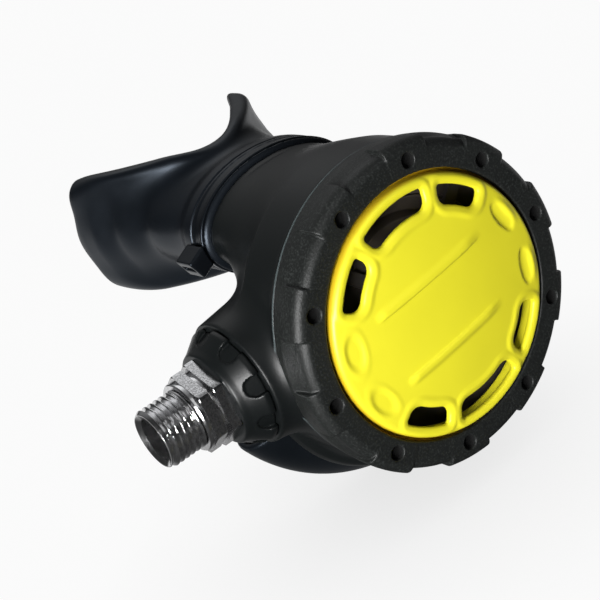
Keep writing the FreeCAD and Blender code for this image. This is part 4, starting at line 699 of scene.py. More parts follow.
# The neck's end stands round the mouth tube by a shoulder.
SHOULDER = 1.2
PORT_DEPTH = 35.0
PORT_LEAN = math.radians(70)
PORT_BORE = 11.0
PORT_RIM = 12.8
PORT_RIM_HEIGHT = 2.4
CROWN_DEPTH = 46.4
CROWN_RADIUS = 60.0
CHIN_START, CHIN_END = 12.0, 29.0
CHIN_RADII = (26.8, 34.2)
BOSS_START, BOSS_END = 29.8, 40.8
BOSS_RADII = (16.6, 15.2)
INLET_BORE = 6.75
SEAM_DEPTH = RING_DEPTH + 0.4


class Neck:
    """The form that leads from the round bowl to the oval mouth tube."""

    def __init__(self, sizes):
        self.bowl, self.start, self.end, half_width, half_height = mm(
            sizes, "bowl_radius", "bowl_depth", "neck_end", "tube_half_width", "tube_half_height")
        self.half_width = half_width + SHOULDER
        self.half_height = half_height + SHOULDER

    def sizes(self, y):
        """Half width, half height and height of the middle at a depth."""
        share = np.clip((y - self.start) / (self.end - self.start), 0, 1)
        half_height = mix(self.bowl, self.half_height, smooth(share))
        half_width = self.half_width + (self.bowl - self.half_width) * (1 - share) ** 1.6
        return half_width, half_height, TUBE_HEIGHT * smooth(share)

    def __call__(self, x, y, z, shrink=0.0, shift=0.0):
        half_width, half_height, height = self.sizes(y + shift)
        return oval(x, z - height, half_width - shrink, half_height - shrink) * 0.8


def port_frame(sizes):
    """Start and direction of the exhaust port, on the underside of the neck."""
    _, half_height, height = Neck(sizes).sizes(np.array(PORT_DEPTH))
    start = np.array([0, PORT_DEPTH, float(height - half_height)])
    return start, np.array([0, math.sin(PORT_LEAN), -math.cos(PORT_LEAN)])


def housing_outside(sizes):
    neck = Neck(sizes)
    _, crown_half_height, crown_height = neck.sizes(np.array(CROWN_DEPTH))
    crown_middle = float(crown_height + crown_half_height) + 2.1 - CROWN_RADIUS

    def distance(x, y, z):
        radius = np.hypot(x, z)
        body = np.maximum(neck(x, y, z), between(y, RING_DEPTH - 2, neck.end + 2.3))
        share = (y - CHIN_START) / (CHIN_END - CHIN_START)
        cone = (np.hypot(x, z + 10.0) - mix(*CHIN_RADII, share)) * 0.917
        chin = smooth_max(cone, between(y, CHIN_START, CHIN_END), 0.8)
        # A long recess runs round the chin, between a front and a back rim.
        recess = smooth((y - 15.4) / 1.0) * (1 - smooth((y - 25.6) / 1.4))
        chin = chin + 1.1 * recess * smooth((radius - neck.bowl - 0.2) / 0.8)
        cone = np.hypot(y - INLET_DEPTH, z) - mix(*BOSS_RADII, (-x - BOSS_START) / (BOSS_END - BOSS_START))
        boss = smooth_max(cone, between(-x, 26.0, BOSS_END), 0.5)
        # A shallow groove crosses the top of the neck's end.
        crown = np.hypot(np.hypot(x, z - crown_middle) - CROWN_RADIUS, y - CROWN_DEPTH) - 2.3
        return cut(joined(body, (chin, 0.8), (boss, 4.0)), (crown, 0.35))

    return distance


def housing_distance(sizes):
    outside = housing_outside(sizes)
    neck = Neck(sizes)
    wall, tube_width, tube_height = mm(sizes, "wall", "tube_half_width", "tube_half_height")
    start, way = port_frame(sizes)
    flange = Turned([(0, RING_DEPTH + 0.1), (37.0, RING_DEPTH + 0.1), (37.0, RING_DEPTH + 0.7),
                     (neck.bowl, RING_DEPTH + 2.2), (0, RING_DEPTH + 2.2)], 0.15)
    front = Turned([(0, 5.4), (34.7, 5.4), (34.7, 12.0), (0, 12.0)], 0.15)
    rooms = Turned([(0, 3), (33.3, 3), (33.3, 8.6), (30.4, 8.6), (30.4, 10.6), (neck.bowl - wall, 12.6),
                    (neck.bowl - wall, 22.0), (0, 22.0)], 0.2)

    def distance(x, y, z):
        radius = np.hypot(x, z)

        def port(port_radius, low, high):
            return rod(x, y, z, start, way, port_radius, low, high)

        tube = np.maximum(oval(x, z - TUBE_HEIGHT, tube_width, tube_height), between(y, 40.0, 60.0))
        bead = np.hypot(radius - 36.7, y - RING_DEPTH - 0.45) - 0.38
        body = joined(outside(x, y, z), (tube, 0.4), (front(radius, y), 0.3), (flange(radius, y), 0.3),
                      (bead, 0.1), (port(PORT_RIM, -4.0, PORT_RIM_HEIGHT), 0.8))
        inside = np.maximum(neck(x, y, z, wall, wall * 0.6), between(y, 20.0, neck.end - wall * 0.6 + 0.5))
        bore = oval(x, z - TUBE_HEIGHT, tube_width - TUBE_WALL, tube_height - TUBE_WALL)
        bore = np.maximum(bore, between(y, 42.0, 70.0))
        hollow = joined(rooms(radius, y), (inside, 0.5), (bore, 0.5))
        inlet = rod(x, y, z, INLET_MIDDLE, (-1, 0, 0), INLET_BORE, 0.0, 45.0)
        for room in (port(PORT_BORE, -12.0, 5.0), port(PORT_RIM + 0.3, PORT_RIM_HEIGHT, 12.0), inlet):
            hollow = np.minimum(hollow, room)
        body = smooth_max(body, -hollow, 0.4)
        # Three bars cross the port under the flap.
        for bar_angle in (0, 60, 120):
            c, s = math.cos(math.radians(bar_angle)), math.sin(math.radians(bar_angle))
            side = np.array([c, s * way[2], -s * way[1]])
            off = (x - start[0]) * side[0] + (y - start[1]) * side[1] + (z - start[2]) * side[2]
            bar = smooth_max(np.abs(off) - 0.8, port(PORT_BORE + 0.4, 0.3, 1.8), 0.3)
            body = smooth_min(body, bar, 0.4)
        return body

    return distance


# Exhaust diffuser

DIFFUSER_DEPTH = 36.5
# In its middle and at its ends.
DIFFUSER_HALF_HEIGHTS = (20.5, 10.5)
DIFFUSER_HALF_DEPTHS = (11.0, 8.5)


def diffuser_form(sizes, x, y, z, shrink):
    """The closed form of the diffuser: an oval that sweeps under the housing and narrows to both sides."""
    share = np.clip((np.arctan2(x, -z) / sizes.diffuser_sweep) ** 2, 0, 1.15)
    half_height = mix(*DIFFUSER_HALF_HEIGHTS, share)
    half_depth = mix(*DIFFUSER_HALF_DEPTHS, share)
    centre = mm(sizes, "diffuser_reach")[0] - half_height - share * 0.6
    depth = y - DIFFUSER_DEPTH - 3 * share
    return oval(np.hypot(x, z) - centre, depth, half_height - shrink, half_depth - shrink)


def diffuser_distance(moulded_sizes, soft_sizes):
    outside = housing_outside(moulded_sizes)
    start, way = port_frame(moulded_sizes)
    wall = mm(soft_sizes, "diffuser_wall")[0]

    def distance(x, y, z):
        radius = np.hypot(x, z)
        ends = (np.abs(np.arctan2(x, -z)) - soft_sizes.diffuser_sweep) * radius
        shell = smooth_max(diffuser_form(soft_sizes, x, y, z, 0.0), ends, 0.8)
        shell = cut(shell, (diffuser_form(soft_sizes, x, y, z, wall), 0.5), (outside(x, y, z) - 0.1, 0.3),
                    (rod(x, y, z, start, way, PORT_RIM + 0.1, -6.0, 7.0), 0.3))
        return smooth_max(shell, 3.0 - radius, 0.3)

    return distance


# Mouthpiece

SLEEVE_DEPTHS = (49.0, 50.2, 50.6, 55.4, 55.8, 58.0, 64.0, 77.0, 88.0, 96.0)
SLEEVE_WIDER = np.array([1.3, 1.3, 0, 0, 1.3, 1.3, -0.2, 1.2, 4.4, 7.4])
SLEEVE_HIGHER = np.array([1.3, 1.3, 0, 0, 1.3, 1.3, 0, 0.6, 1.8, 2.8])
WING_END = 103.1
TAB_ACROSS, TAB_DEPTHS = (11.0, 30.0), (78.0, 100.0)
RIDGE_ACROSS, RIDGE_DEPTHS = (11.0, 13.6), (84.0, 100.0)


def through(y, values):
    """A size that runs smoothly through its values at the sleeve's depths."""
    depths = np.array(SLEEVE_DEPTHS)
    index = np.clip(np.searchsorted(depths, y) - 1, 0, len(depths) - 2)
    start, end = depths[index], depths[index + 1]
    return mix(values[index], values[index + 1], smooth((y - start) / (end - start)))


def mouthpiece_distance(moulded_sizes, sizes):
    tube_width, tube_height = mm(moulded_sizes, "tube_half_width", "tube_half_height")
    wall, flange_depth, sweep, thickness, half_width, half_height = mm(
        sizes, "sleeve_wall", "flange_depth", "flange_sweep", "flange_thickness", "flange_half_width",
        "flange_half_height")
    widths = tube_width + wall + SLEEVE_WIDER
    heights = tube_height + wall + SLEEVE_HIGHER

    def distance(x, y, z):
        up = z - TUBE_HEIGHT
        across = np.abs(x)
        sheet_gap = y - flange_depth - sweep * (x / half_width) ** 2
        sheet_gap = sheet_gap / np.sqrt(1 + (2 * sweep * x / half_width ** 2) ** 2)
        neck = oval(x, up, through(y, widths), through(y, heights)) * 0.95
        neck = shared(neck, (SLEEVE_DEPTHS[0] - y, 2.6), (sheet_gap - thickness * 0.5, 0.8))
        # The upper edge dips over the middle and stands up towards the wings.
        rise = 0.2 * smooth((across - 14) / 12) - 2.0 * (1 - smooth(across / 12))
        over = np.where(up > 0, np.maximum(up - rise, 0), up)
        outline = rounded_box(x, over, half_width, half_height, np.where(up > 0, 7.5, 9.5))
        thick = thickness * (1 + 0.95 * smooth((across - 3) / 14))
        sheet = np.abs(sheet_gap - thick / 2) - thick / 2
        flange = shared(sheet, (outline, 2.4), (y - WING_END, 3.2))
        inner = np.maximum(oval(x, up, tube_width + 0.05, tube_height + 0.05), between(y, 40.0, 60.1))
        throat = oval(x, up, tube_width - TUBE_WALL, tube_height - TUBE_WALL)
        body = cut(smooth_min(neck, flange, 5.0), (inner, 0.4), (throat, 1.6))
        # Each bite tab ends in a ridge that stands above and below it.
        tab = shared(between(across, *TAB_ACROSS), (np.abs(up) - 1.7, 1.0), (between(y, *TAB_DEPTHS), 1.4),
                     (-sheet_gap + 0.5, 0.5))
        ridge = shared(between(across, *RIDGE_ACROSS), (np.abs(up) - 6.0, 1.6),
                       (between(y, *RIDGE_DEPTHS), 1.6))
        return smooth_min(body, smooth_min(tab, ridge, 1.5), 1.5)

    return distance


# Tie

TIE_START, TIE_END = 50.65, 55.35
TIE_THICKNESS = 1.2


def tie_distance(moulded_sizes, sizes):
    tube_width, tube_height = mm(moulded_sizes, "tube_half_width", "tube_half_height")
    wall = mm(sizes, "sleeve_wall")[0]
    wide = tube_width + wall + 0.05
    high = tube_height + wall + 0.05
    tilt = math.radians(26)
    out = np.array([-math.cos(tilt), -math.sin(tilt)])
    round_tie = np.array([-math.sin(tilt), math.cos(tilt)])
    root = np.array([-(wide + TIE_THICKNESS), TUBE_HEIGHT - 1.2])

    def distance(x, y, z):
        up = z - TUBE_HEIGHT
        outer = oval(x, up, wide + TIE_THICKNESS, high + TIE_THICKNESS)
        inner = oval(x, up, wide, high)
        band = smooth_max(outer, between(y, TIE_START, TIE_END), 0.3)
        # A shallow channel runs round the band.
        channel = smooth_max(0.85 - outer - 1.1, np.abs(y - 53.0) - 1.3, 0.3)
        band = smooth_max(band, -channel, 0.2)
        # The head leans below the band's widest place, and has a slot in its outer face.
        stand = (x - root[0]) * out[0] + (z - root[1]) * out[1]
        along = (x - root[0]) * round_tie[0] + (z - root[1]) * round_tie[1]
        head = smooth_max(rounded_box(stand - 1.9, along, 2.7, 2.7, 0.5), between(y, 49.9, 56.9), 0.45)
        slot = smooth_max(rounded_box(along - 0.2, y - 53.4, 0.8, 2.5, 0.3), 1.2 - stand, 0.3)
        bead = smooth_max(oval(x, up, wide + 1.35, high + 1.35), between(y, 50.6, 55.4) * -1, 0.1)
        head = cut(head, (slot, 0.25), (bead, 0.2))
        return cut(smooth_min(band, head, 0.35), (inner, 0.3))

    return distance


# Inlet

HEX_TURN = math.radians(82)
THREAD_CREST = 7.14
THREAD_PITCH = 25.4 / 18


def turned_grid(name, stations, columns, shape, crease):
    """A closed mesh round the inlet's axis. Its stations are (x, radius) round the outline, and
    shape gives the true radius from x, that radius and the angle."""
    x, radius = np.array(stations, float).T
    around = 2 * math.pi * np.arange(columns) / columns + HEX_TURN
    x, turn = np.meshgrid(x, around, indexing="ij")
    radius = shape(x, np.repeat(radius[:, None], columns, 1), turn)
    points = np.stack([x, INLET_DEPTH + radius * np.cos(turn), radius * np.sin(turn)], -1).reshape(-1, 3)
    obj = mesh_object(name, points, grid_faces(len(stations), columns))
    obj.data.set_sharp_from_angle(angle=math.radians(crease))
    return obj


def span(first, last, step):
    """Places from first to last, a step or less apart."""
    return list(np.linspace(first, last, int(abs(last - first) / step) + 2))


def hexagon_part(name, low, high, flats, bore):
    """A hexagonal nut with bevelled corners, and faces chamfered at 30 degrees."""
    half = flats / 2
    bevel, chamfer = half * 1.145, half * 1.105
    outside = span(low, low + 0.4, 0.06) + span(low + 0.4, high - 0.4, 0.6)[1:-1]
    outside += span(high - 0.4, high, 0.06)

    def shape(x, radius, turn):
        off = (turn - HEX_TURN) % (math.pi / 3) - math.pi / 6
        ends = chamfer + math.sqrt(3) * np.minimum(x - low, high - x)
        hexagon = np.minimum(np.minimum(half / np.cos(off), bevel), ends)
        return np.where(radius > bore, hexagon, radius)

    stations = [(low, bore)] + [(x, flats) for x in outside] + [(high, bore)]
    return turned_grid(name, stations, 144, shape, 14)


def collar_distance():
    start, end = -40.95, -47.4
    bore = 6.8
    profile = Turned([(start, bore), (start, 14.5), (start - 1.4, 14.4), (end + 1.6, 11.9), (end, 11.1),
                      (end, bore)], 0.25)
    pitch = math.radians(40)
    turn = math.radians(85)
    slope = math.tan(math.radians(18))

    def distance(x, y, z):
        radius = np.hypot(y - INLET_DEPTH, z)
        around = np.arctan2(z, y - INLET_DEPTH) - turn
        off = ((around + pitch / 2) % pitch - pitch / 2) * radius
        # Each pocket is open to the boss and round at its other end. Its floor falls towards that end.
        pocket = np.hypot(off, np.minimum(x + 42.85, 0)) - 2.2
        floor = 13.4 + (x - start) * slope
        return cut(profile(x, radius), (smooth_max(pocket, floor - radius, 0.25), 0.25))

    return distance


def thread_part(name):
    """The barrel's end: collar, relief, thread and the bore for the hose's nose."""
    depth = 0.62 * THREAD_PITCH
    end = BARREL_LOW[0]
    start = end + 8.9
    bore = 5.3
    back = [(-47.5, 8.4), (-54.6, 8.4), (-54.9, 8.15), (-54.9, 6.5), (start + 0.1, 6.5)]
    thread = [(x, THREAD_CREST) for x in span(start, end + 0.9, 0.1)]
    thread += [(end + 0.15, THREAD_CREST - 0.5), (end, THREAD_CREST - 0.65)]
    inside = [(end, bore + 1.05), (end + 0.15, bore + 0.85), (end + 0.9, bore), (-47.5, bore)]

    def shape(x, radius, turn):
        phase = (x / THREAD_PITCH + turn / (2 * math.pi)) % 1.0
        groove = np.clip(np.abs(phase - 0.5) * 2.6 - 0.15, 0, 1)
        run_out = smooth((x - start + 1.2) / 1.2)
        return np.where(radius == THREAD_CREST, THREAD_CREST - depth * groove * (1 - run_out), radius)

    return turned_grid(name, back + thread + inside, 120, shape, 30)


def tube_distance():
    """The plain inner tube of the barrel."""
    # The outline reaches past the axis, so that its table is even there.
    bore = Turned([(-47.6, 0), (-47.6, 5.3), (-43.3, 5.3), (-43.3, 4.95), (-32.3, 4.95), (-32.3, 4.6),
                   (24, 4.6), (24, 0), (24, -4.6), (-47.6, -5.3)], 0.08)

    def distance(x, y, z):
        side = y - INLET_DEPTH
        radius = np.hypot(side, z)
        body = smooth_max(radius - 6.6, between(x, -47.5, BARREL_HIGH[0]), 0.3)
        window = smooth_max(between(x, 16.0, 20.0), between(side, -3.5, 3.5), 0.4)
        window = smooth_max(window, -np.abs(z) + 2.0, 0.2)
        outlet = smooth_max(between(x, -18.8, -12.3), np.abs(z) - 1.8, 0.4)
        outlet = smooth_max(outlet, -side, 0.2)
        return cut(body, (bore(x, radius), 0.2), (window, 0.2), (outlet, 0.2))

    return distance


# Pieces inside

DIAPHRAGM_FRONT = (0, 8.2, 0)
RIM_OUTLINE = [(33.2, -0.5), (33.2, 0.4), (24.0, 0.4), (24.0, 3.0), (24.4, 3.0), (24.4, 0.0), (31.1, 0.0),
               (31.1, -0.5)]
MIDDLE_OUTLINE = [(0, 0), (19.4, 0), (20.2, 3.4), (23.2, 3.4), (23.4, 0.6), (23.8, 0.6), (23.7, 3.9),
                  (19.8, 3.9), (19.0, 0.4), (0, 0.4)]
FLAP_OUTLINE = [(0, 3.5), (1.0, 3.5), (1.6, 3.1), (12.1, 2.7), (12.1, 2.45), (1.2, 2.45), (1.15, 0.6),
                (1.8, 0.2), (1.0, -2.2), (0, -2.2)]


def softened(outline, radius):
    """An outline with each corner turned into a short curve."""
    points = np.array(outline, float)
    curved = []
    for before, corner, after in zip(np.roll(points, 1, 0), points, np.roll(points, -1, 0)):
        into, out = before - corner, after - corner
        reach = [min(radius, np.linalg.norm(way) * 0.45) / np.linalg.norm(way) for way in (into, out)]
        first, last = corner + into * reach[0], corner + out * reach[1]
        for share in (0.0, 0.33, 0.67, 1.0):
            curved.append(mix(mix(first, corner, share), mix(corner, last, share), share))
    return curved


def lathe(name, outline, start, way, rounding, columns=96):
    """A soft piece turned round an axis. Its outline holds (radius, height along the axis)."""
    outline = np.array(softened(outline, rounding))
    way = np.array(way, float) / np.linalg.norm(way)
    side = np.cross(way, (1, 0, 0) if abs(way[0]) < 0.9 else (0, 0, 1))
    side /= np.linalg.norm(side)
    other = np.cross(way, side)
    turn = 2 * math.pi * np.arange(columns) / columns
    round_way = np.cos(turn)[:, None] * side + np.sin(turn)[:, None] * other
    out = np.maximum(outline[:, 0], 0.01)[:, None, None]
    points = np.array(start) + outline[:, 1, None, None] * way + out * round_way
    return mesh_object(name, points.reshape(-1, 3), grid_faces(len(outline), columns))


def disc_part(name, node, inner, rounding, columns):
    """A disc or ring of the same outer size as a CAD node whose axis lies along X."""
    low, high = node_box(node)
    outer = (high[1] - low[1]) / 2
    width = high[0] - low[0]
    outline = [(inner, 0), (outer, 0), (outer, width), (inner, width)]
    return lathe(name, outline, (low[0], INLET_DEPTH, 0), (1, 0, 0), rounding, columns)


def seal_ring(name, node):
    """A rubber ring as thick as it is wide, of the same size as a CAD node."""
    low, high = node_box(node)
    width = high[0] - low[0]
    return disc_part(name, node, (high[1] - low[1]) / 2 - width, width * 0.45, 64)


def spring_part(name, node, material):
    """A spring in its CAD form, put on the body."""
    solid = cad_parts[node]
    coil = bpy.data.objects.new(name, solid.data.copy())
    coil.data.materials.clear()
    bpy.context.scene.collection.objects.link(coil)
    coil.matrix_world = solid.matrix_world
    place(coil, "body", material, [node])
    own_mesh(coil)


# Operators, one for each group of pieces

class VALVE_OT_front_ring(bpy.types.Operator):
    """Build the front ring with its spanner holes and grip scoops"""
    bl_idname = "valve.front_ring"
    bl_label = "Front Ring"

    def execute(self, context):
        scene = context.scene
        box = ((-38.5, -0.6, -38.5), (38.5, RING_DEPTH + 0.6, 38.5))
        ring = moulded("front_ring_part", ring_distance(scene.valve_moulded), box, 0.3, 0.4)
        material = ring_plastic("ring_plastic", scene.valve_colours.ring, 0.46)
        place(ring, "body", material, ["front_ring"])
        return {"FINISHED"}


class VALVE_OT_purge_cover(bpy.types.Operator):
    """Build the domed purge cover with its slots, dimples and ridges"""
    bl_idname = "valve.purge_cover"
    bl_label = "Purge Cover"

    def execute(self, context):
        scene = context.scene
        box = ((-32.2, -3.6, -32.2), (32.2, 8.6, 32.2))
        cover = moulded("purge_cover_part", cover_distance(scene.valve_moulded), box, 0.36, 0.5)
        material = cover_plastic("cover_plastic", scene.valve_colours, 0.42)
        place(cover, "purge", material, ["purge_cover"])
        return {"FINISHED"}


class VALVE_OT_housing(bpy.types.Operator):
    """Build the housing with its neck, chin, inlet boss and exhaust port"""
    bl_idname = "valve.housing"
    bl_label = "Housing"

    def execute(self, context):
        scene = context.scene
        distance = housing_distance(scene.valve_moulded)
        housing = moulded("housing_part", distance, node_box("housing", 1.0), 0.55, 0.8)
        # A painted highlight along the housing's edge at the seam with the ring.
        seam_highlight = (SEAM_DEPTH / 1000, 0.0364, 0.0372)
        material = satin_plastic("housing_plastic", scene.valve_colours.housing, 0.40, 0.00003, seam_highlight)
        place(housing, "body", material, ["housing"])
        return {"FINISHED"}


class VALVE_OT_diffuser(bpy.types.Operator):
    """Build the rubber exhaust diffuser"""
    bl_idname = "valve.diffuser"
    bl_label = "Exhaust Diffuser"

    def execute(self, context):
        scene = context.scene
        distance = diffuser_distance(scene.valve_moulded, scene.valve_soft)
        box = node_box("exhaust_diffuser", 1.5)
        diffuser = moulded("exhaust_diffuser_part", distance, box, 0.55, 0.8)
        material = soft_rubber("diffuser_rubber", scene.valve_colours.rubber, 0.28)
        place(diffuser, "body", material, ["exhaust_diffuser"])
        return {"FINISHED"}


class VALVE_OT_mouthpiece(bpy.types.Operator):
    """Build the silicone mouthpiece"""
    bl_idname = "valve.mouthpiece"
    bl_label = "Mouthpiece"

    def execute(self, context):
        scene = context.scene
        distance = mouthpiece_distance(scene.valve_moulded, scene.valve_soft)
        box = ((-32, MOUTH_LOW[1] - 1, 3), (32, 104, 39))
        mouthpiece = moulded("mouthpiece_part", distance, box, 0.5, 0.8)
        material = soft_rubber("mouthpiece_silicone", scene.valve_colours.silicone, 0.30)
        place(mouthpiece, "body", material, ["mouthpiece"])
        return {"FINISHED"}


class VALVE_OT_tie(bpy.types.Operator):
    """Build the tie that holds the mouthpiece"""
    bl_idname = "valve.tie"
    bl_label = "Mouthpiece Tie"

    def execute(self, context):
        scene = context.scene
        distance = tie_distance(scene.valve_moulded, scene.valve_soft)
        tie = moulded("tie_part", distance, node_box("mouthpiece_tie", 0.6), 0.35)
        material = soft_rubber("tie_nylon", scene.valve_colours.nylon, 0.24)
        place(tie, "body", material, ["mouthpiece_tie"])
        return {"FINISHED"}


class VALVE_OT_inlet(bpy.types.Operator):
    """Build the inlet: collar, lock nut, hexagon, thread and the barrel's inner tube"""
    bl_idname = "valve.inlet"
    bl_label = "Inlet"

    def execute(self, context):
        colours = context.scene.valve_colours
        box = (INLET_MIDDLE + (-48, -15.0, -15.0), INLET_MIDDLE + (-40.4, 15.0, 15.0))
        collar = moulded("inlet_collar_part", collar_distance(), box, 0.35)
        plastic = satin_plastic("collar_plastic", colours.housing, 0.34, 0.00003)
        place(collar, "body", plastic, ["inlet_collar"])
        chrome = metal("chrome_plate", colours.chrome, 0.12, 0.10)
        cast = metal("chrome_hexagons", colours.chrome, 0.10, 0.10, 0.00005, 2600.0, 0.45)
        nut = hexagon_part("lock_nut_part", -50.0, -47.45, 18.0, 6.8)
        place(nut, "body", cast, ["barrel_lock_nut"])
        flats = hexagon_part("inlet_hexagon_part", -53.7, -51.0, 17.0, 6.0)
        place(flats, "body", cast)
        place(thread_part("inlet_part"), "body", chrome, ["valve_barrel"])
        box = (INLET_MIDDLE + (-48, -7.2, -7.2), INLET_MIDDLE + (BARREL_HIGH[0] + 0.5, 7.2, 7.2))
        tube = moulded("barrel_tube_part", tube_distance(), box, 0.45)
        place(tube, "body", chrome)
        return {"FINISHED"}


class VALVE_OT_inside(bpy.types.Operator):
    """Build the soft pieces and springs inside, and finish the CAD nodes that keep their shape"""
    bl_idname = "valve.inside"
    bl_label = "Inside"

    def execute(self, context):
        colours = context.scene.valve_colours
        silicone = soft_rubber("diaphragm_silicone", colours.diaphragm, 0.4)
        rim = lathe("diaphragm_rim", RIM_OUTLINE, DIAPHRAGM_FRONT, (0, 1, 0), 0.15)
        place(rim, "body", silicone, ["diaphragm"])
        middle = lathe("diaphragm_middle", MIDDLE_OUTLINE, DIAPHRAGM_FRONT, (0, 1, 0), 0.3)
        place(middle, "plate", silicone)
        flap = lathe("exhaust_flap", FLAP_OUTLINE, *port_frame(context.scene.valve_moulded), 0.3)
        silicone = soft_rubber("flap_silicone", colours.rubber, 0.4)
        place(flap, "body", silicone, ["exhaust_valve"])
        seat = disc_part("seat_disc", "poppet_seat", 0, 0.2, 48)
        silicone = soft_rubber("seat_silicone", (0.2, 0.2, 0.2), 0.4)
        place(seat, "poppet", silicone, ["poppet_seat"])
        seal = soft_rubber("seal_rubber", (0.008, 0.008, 0.008), 0.35)
        for node in ("barrel_seal", "orifice_seal"):
            place(seal_ring(node + "_part", node), "body", seal, [node])
        wire = metal("spring_wire", colours.steel, 0.18, 0.10)
        spring_part("purge_spring_part", "purge_spring", wire)
        spring_part("valve_spring_part", "valve_spring", wire)
        steel = metal("steel_sheet", colours.steel, 0.25, 0.12)
        kept = {
            "diaphragm_plate": metal("plate_steel", colours.steel, 0.3, 0.15),
            "demand_lever": steel,
            "lever_washer": steel,
            "poppet_nut": steel,
            "orifice": metal("orifice_brass", colours.brass, 0.2, 0.1),
            "purge_guide": satin_plastic("guide_plastic", colours.guide, 0.4),
            "slip_ring": satin_plastic("slip_plastic", (0.6, 0.6, 0.58), 0.4),
            "poppet": satin_plastic("poppet_plastic", (0.75, 0.74, 0.7), 0.4),
            "air_deflector": satin_plastic("deflector_plastic", (0.03, 0.03, 0.03), 0.4),
        }
        for name, material in kept.items():
            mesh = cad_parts[name].data
            mesh.materials.clear()
            mesh.materials.append(material)
        return {"FINISHED"}


# The stage

LIGHT_TARGET = (0, 0.03, 0)
FLOOR_HALF = 1500
# The finished diffuser reaches a little lower than the CAD model.
FLOOR_DROP = 0.9


def area_light(name, stand, size, power):
    data = bpy.data.lights.new(name, "AREA")
    data.shape = "SQUARE"
    data.size = size
    data.energy = power
    lamp = bpy.data.objects.new(name, data)
    lamp.location = stand
    lamp.rotation_euler = (Vector(LIGHT_TARGET) - Vector(stand)).to_track_quat("-Z", "Y").to_euler()
    bpy.context.scene.collection.objects.link(lamp)


def rays(tree):
    """Signals that are 1 on camera rays and on mirrored rays."""
    camera = Signal(tree).node("ShaderNodeLightPath", output="Is Camera Ray")
    return camera, camera.output("Is Glossy Ray")


def show_mixed(tree, share, first, last, output):
    """Leads two shaders, mixed by a share, to an output node."""
    mixed = share.node("ShaderNodeMixShader", {0: share, 1: first, 2: last})
    tree.links.new(mixed.socket, tree.nodes[output].inputs["Surface"])


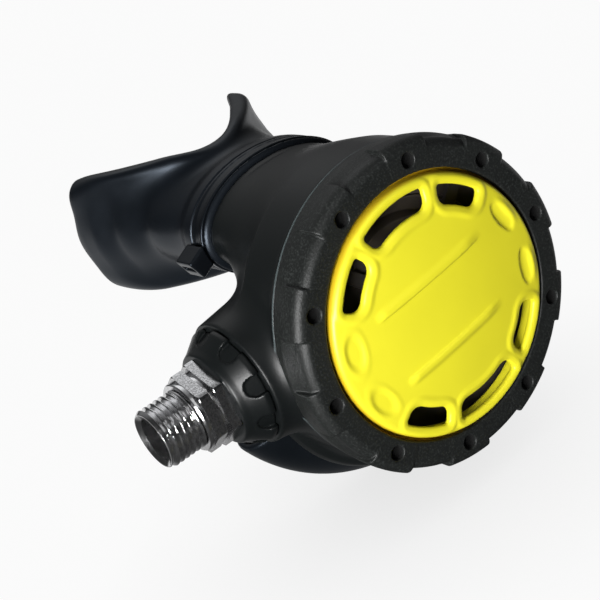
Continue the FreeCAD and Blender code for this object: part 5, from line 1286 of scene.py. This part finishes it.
class VALVE_OT_stage(bpy.types.Operator):
    """Set up the camera, the lights, the floor and the world"""
    bl_idname = "valve.stage"
    bl_label = "Stage"

    # The camera's right, up and back directions and its place, fitted to the photograph.
    right = (0.75058, -0.55865, -0.35291)
    up = (0.50071, 0.13234, 0.85544)
    back = (-0.43118, -0.81878, 0.37905)
    stand = (-0.15523, -0.23520, 0.12877)
    lens = 84.907
    # The ways towards the bright background behind the object, and towards the bright patch above it.
    behind = (0.45, 0.88, 0.12)
    above = (0.30, 0.58, 0.76)

    def execute(self, context):
        scene = context.scene
        data = bpy.data.cameras.new("camera")
        data.lens = self.lens
        data.sensor_width = 36.0
        data.clip_start = 0.01
        camera = bpy.data.objects.new("camera", data)
        rows = list(zip(self.right, self.up, self.back, self.stand))
        camera.matrix_world = Matrix(rows + [(0, 0, 0, 1)])
        scene.collection.objects.link(camera)
        scene.camera = camera
        scene.view_settings.view_transform = "Standard"
        self.floor()
        self.world(scene)
        area_light("key", (-0.58, -0.37, 0.07), 0.32, 9.6)
        area_light("fill", (0.10, -0.50, 0.60), 0.50, 0.5)
        return {"FINISHED"}

    def floor(self):
        """White to the camera and darker next to the object, as its shadow. Its far side is mirrored too."""
        low = CAD_BOX[0][2] * 1000 - FLOOR_DROP
        points = [(x * FLOOR_HALF, y * FLOOR_HALF, low) for x, y in ((-1, -1), (1, -1), (1, 1), (-1, 1))]
        floor = mesh_object("floor", points, [(0, 1, 2, 3)], False)
        finish = Finish("floor_white", Base_Color=(0.10, 0.10, 0.10, 1), Roughness=0.9,
                        Specular_IOR_Level=0.0)
        tree = finish.tree
        camera, gloss = rays(tree)
        mirrored = gloss * finish.place.along(self.behind).within(0.0, 0.08) * 0.8
        open_share = finish.place.node("ShaderNodeAmbientOcclusion", {"Distance": 0.06}, 1, samples=8)
        seen = camera * (open_share * 0.22 + 0.74) + mirrored
        dull = Signal(tree, finish.shader.outputs["BSDF"])
        show_mixed(tree, seen, dull, Signal(tree).node("ShaderNodeEmission"), "Material Output")
        floor.data.materials.append(finish.material)

    def world(self, scene):
        """White to the camera. In reflections it is bright above the far side and dark elsewhere."""
        scene.world = bpy.data.worlds.new("world")
        scene.world.use_nodes = True
        tree = scene.world.node_tree
        way = Signal(tree).node("ShaderNodeTexCoord", output="Generated")
        camera, gloss = rays(tree)
        plain = way.along(self.behind).within(0.0, 0.9) * 0.16 + 0.02
        above = way.along(self.above)
        mirrored = above.within(0.55, 0.93) * 0.30 + above.within(0.93, 0.98) * 0.65 + 0.03
        dim = plain + (mirrored - plain) * gloss
        white = way.node("ShaderNodeBackground", {"Color": (0.96, 0.97, 0.98, 1)})
        dark = way.node("ShaderNodeBackground", {"Color": (0, 0, 0, 1)})
        show_mixed(tree, dim + (1 - dim) * camera, dark, white, "World Output")


OPERATORS = (
    VALVE_OT_front_ring, VALVE_OT_purge_cover, VALVE_OT_housing, VALVE_OT_diffuser, VALVE_OT_mouthpiece,
    VALVE_OT_tie, VALVE_OT_inlet, VALVE_OT_inside, VALVE_OT_stage,
)


class VALVE_PT_panel(bpy.types.Panel):
    """Lists the pieces of the demand valve"""
    bl_label = "Demand Valve"
    bl_idname = "VALVE_PT_panel"
    bl_space_type = "VIEW_3D"
    bl_region_type = "UI"
    bl_category = "Demand Valve"

    def draw(self, context):
        for operator in OPERATORS:
            self.layout.operator(operator.bl_idname)
        for group in (context.scene.valve_moulded, context.scene.valve_soft, context.scene.valve_colours):
            box = self.layout.box()
            for name in group.__annotations__:
                box.prop(group, name)


GROUPS = {"valve_moulded": ValveMouldedSizes, "valve_soft": ValveSoftSizes, "valve_colours": ValveColours}


def register():
    for group in GROUPS.values():
        bpy.utils.register_class(group)
    for operator in OPERATORS:
        bpy.utils.register_class(operator)
    bpy.utils.register_class(VALVE_PT_panel)
    for name, group in GROUPS.items():
        setattr(bpy.types.Scene, name, bpy.props.PointerProperty(type=group))


def unregister():
    for name in GROUPS:
        delattr(bpy.types.Scene, name)
    bpy.utils.unregister_class(VALVE_PT_panel)
    for operator in reversed(OPERATORS):
        bpy.utils.unregister_class(operator)
    for group in reversed(GROUPS.values()):
        bpy.utils.unregister_class(group)


def main():
    register()
    for operator in OPERATORS:
        getattr(bpy.ops.valve, operator.bl_idname.split(".")[1])()


if __name__ == "__main__":
    main()
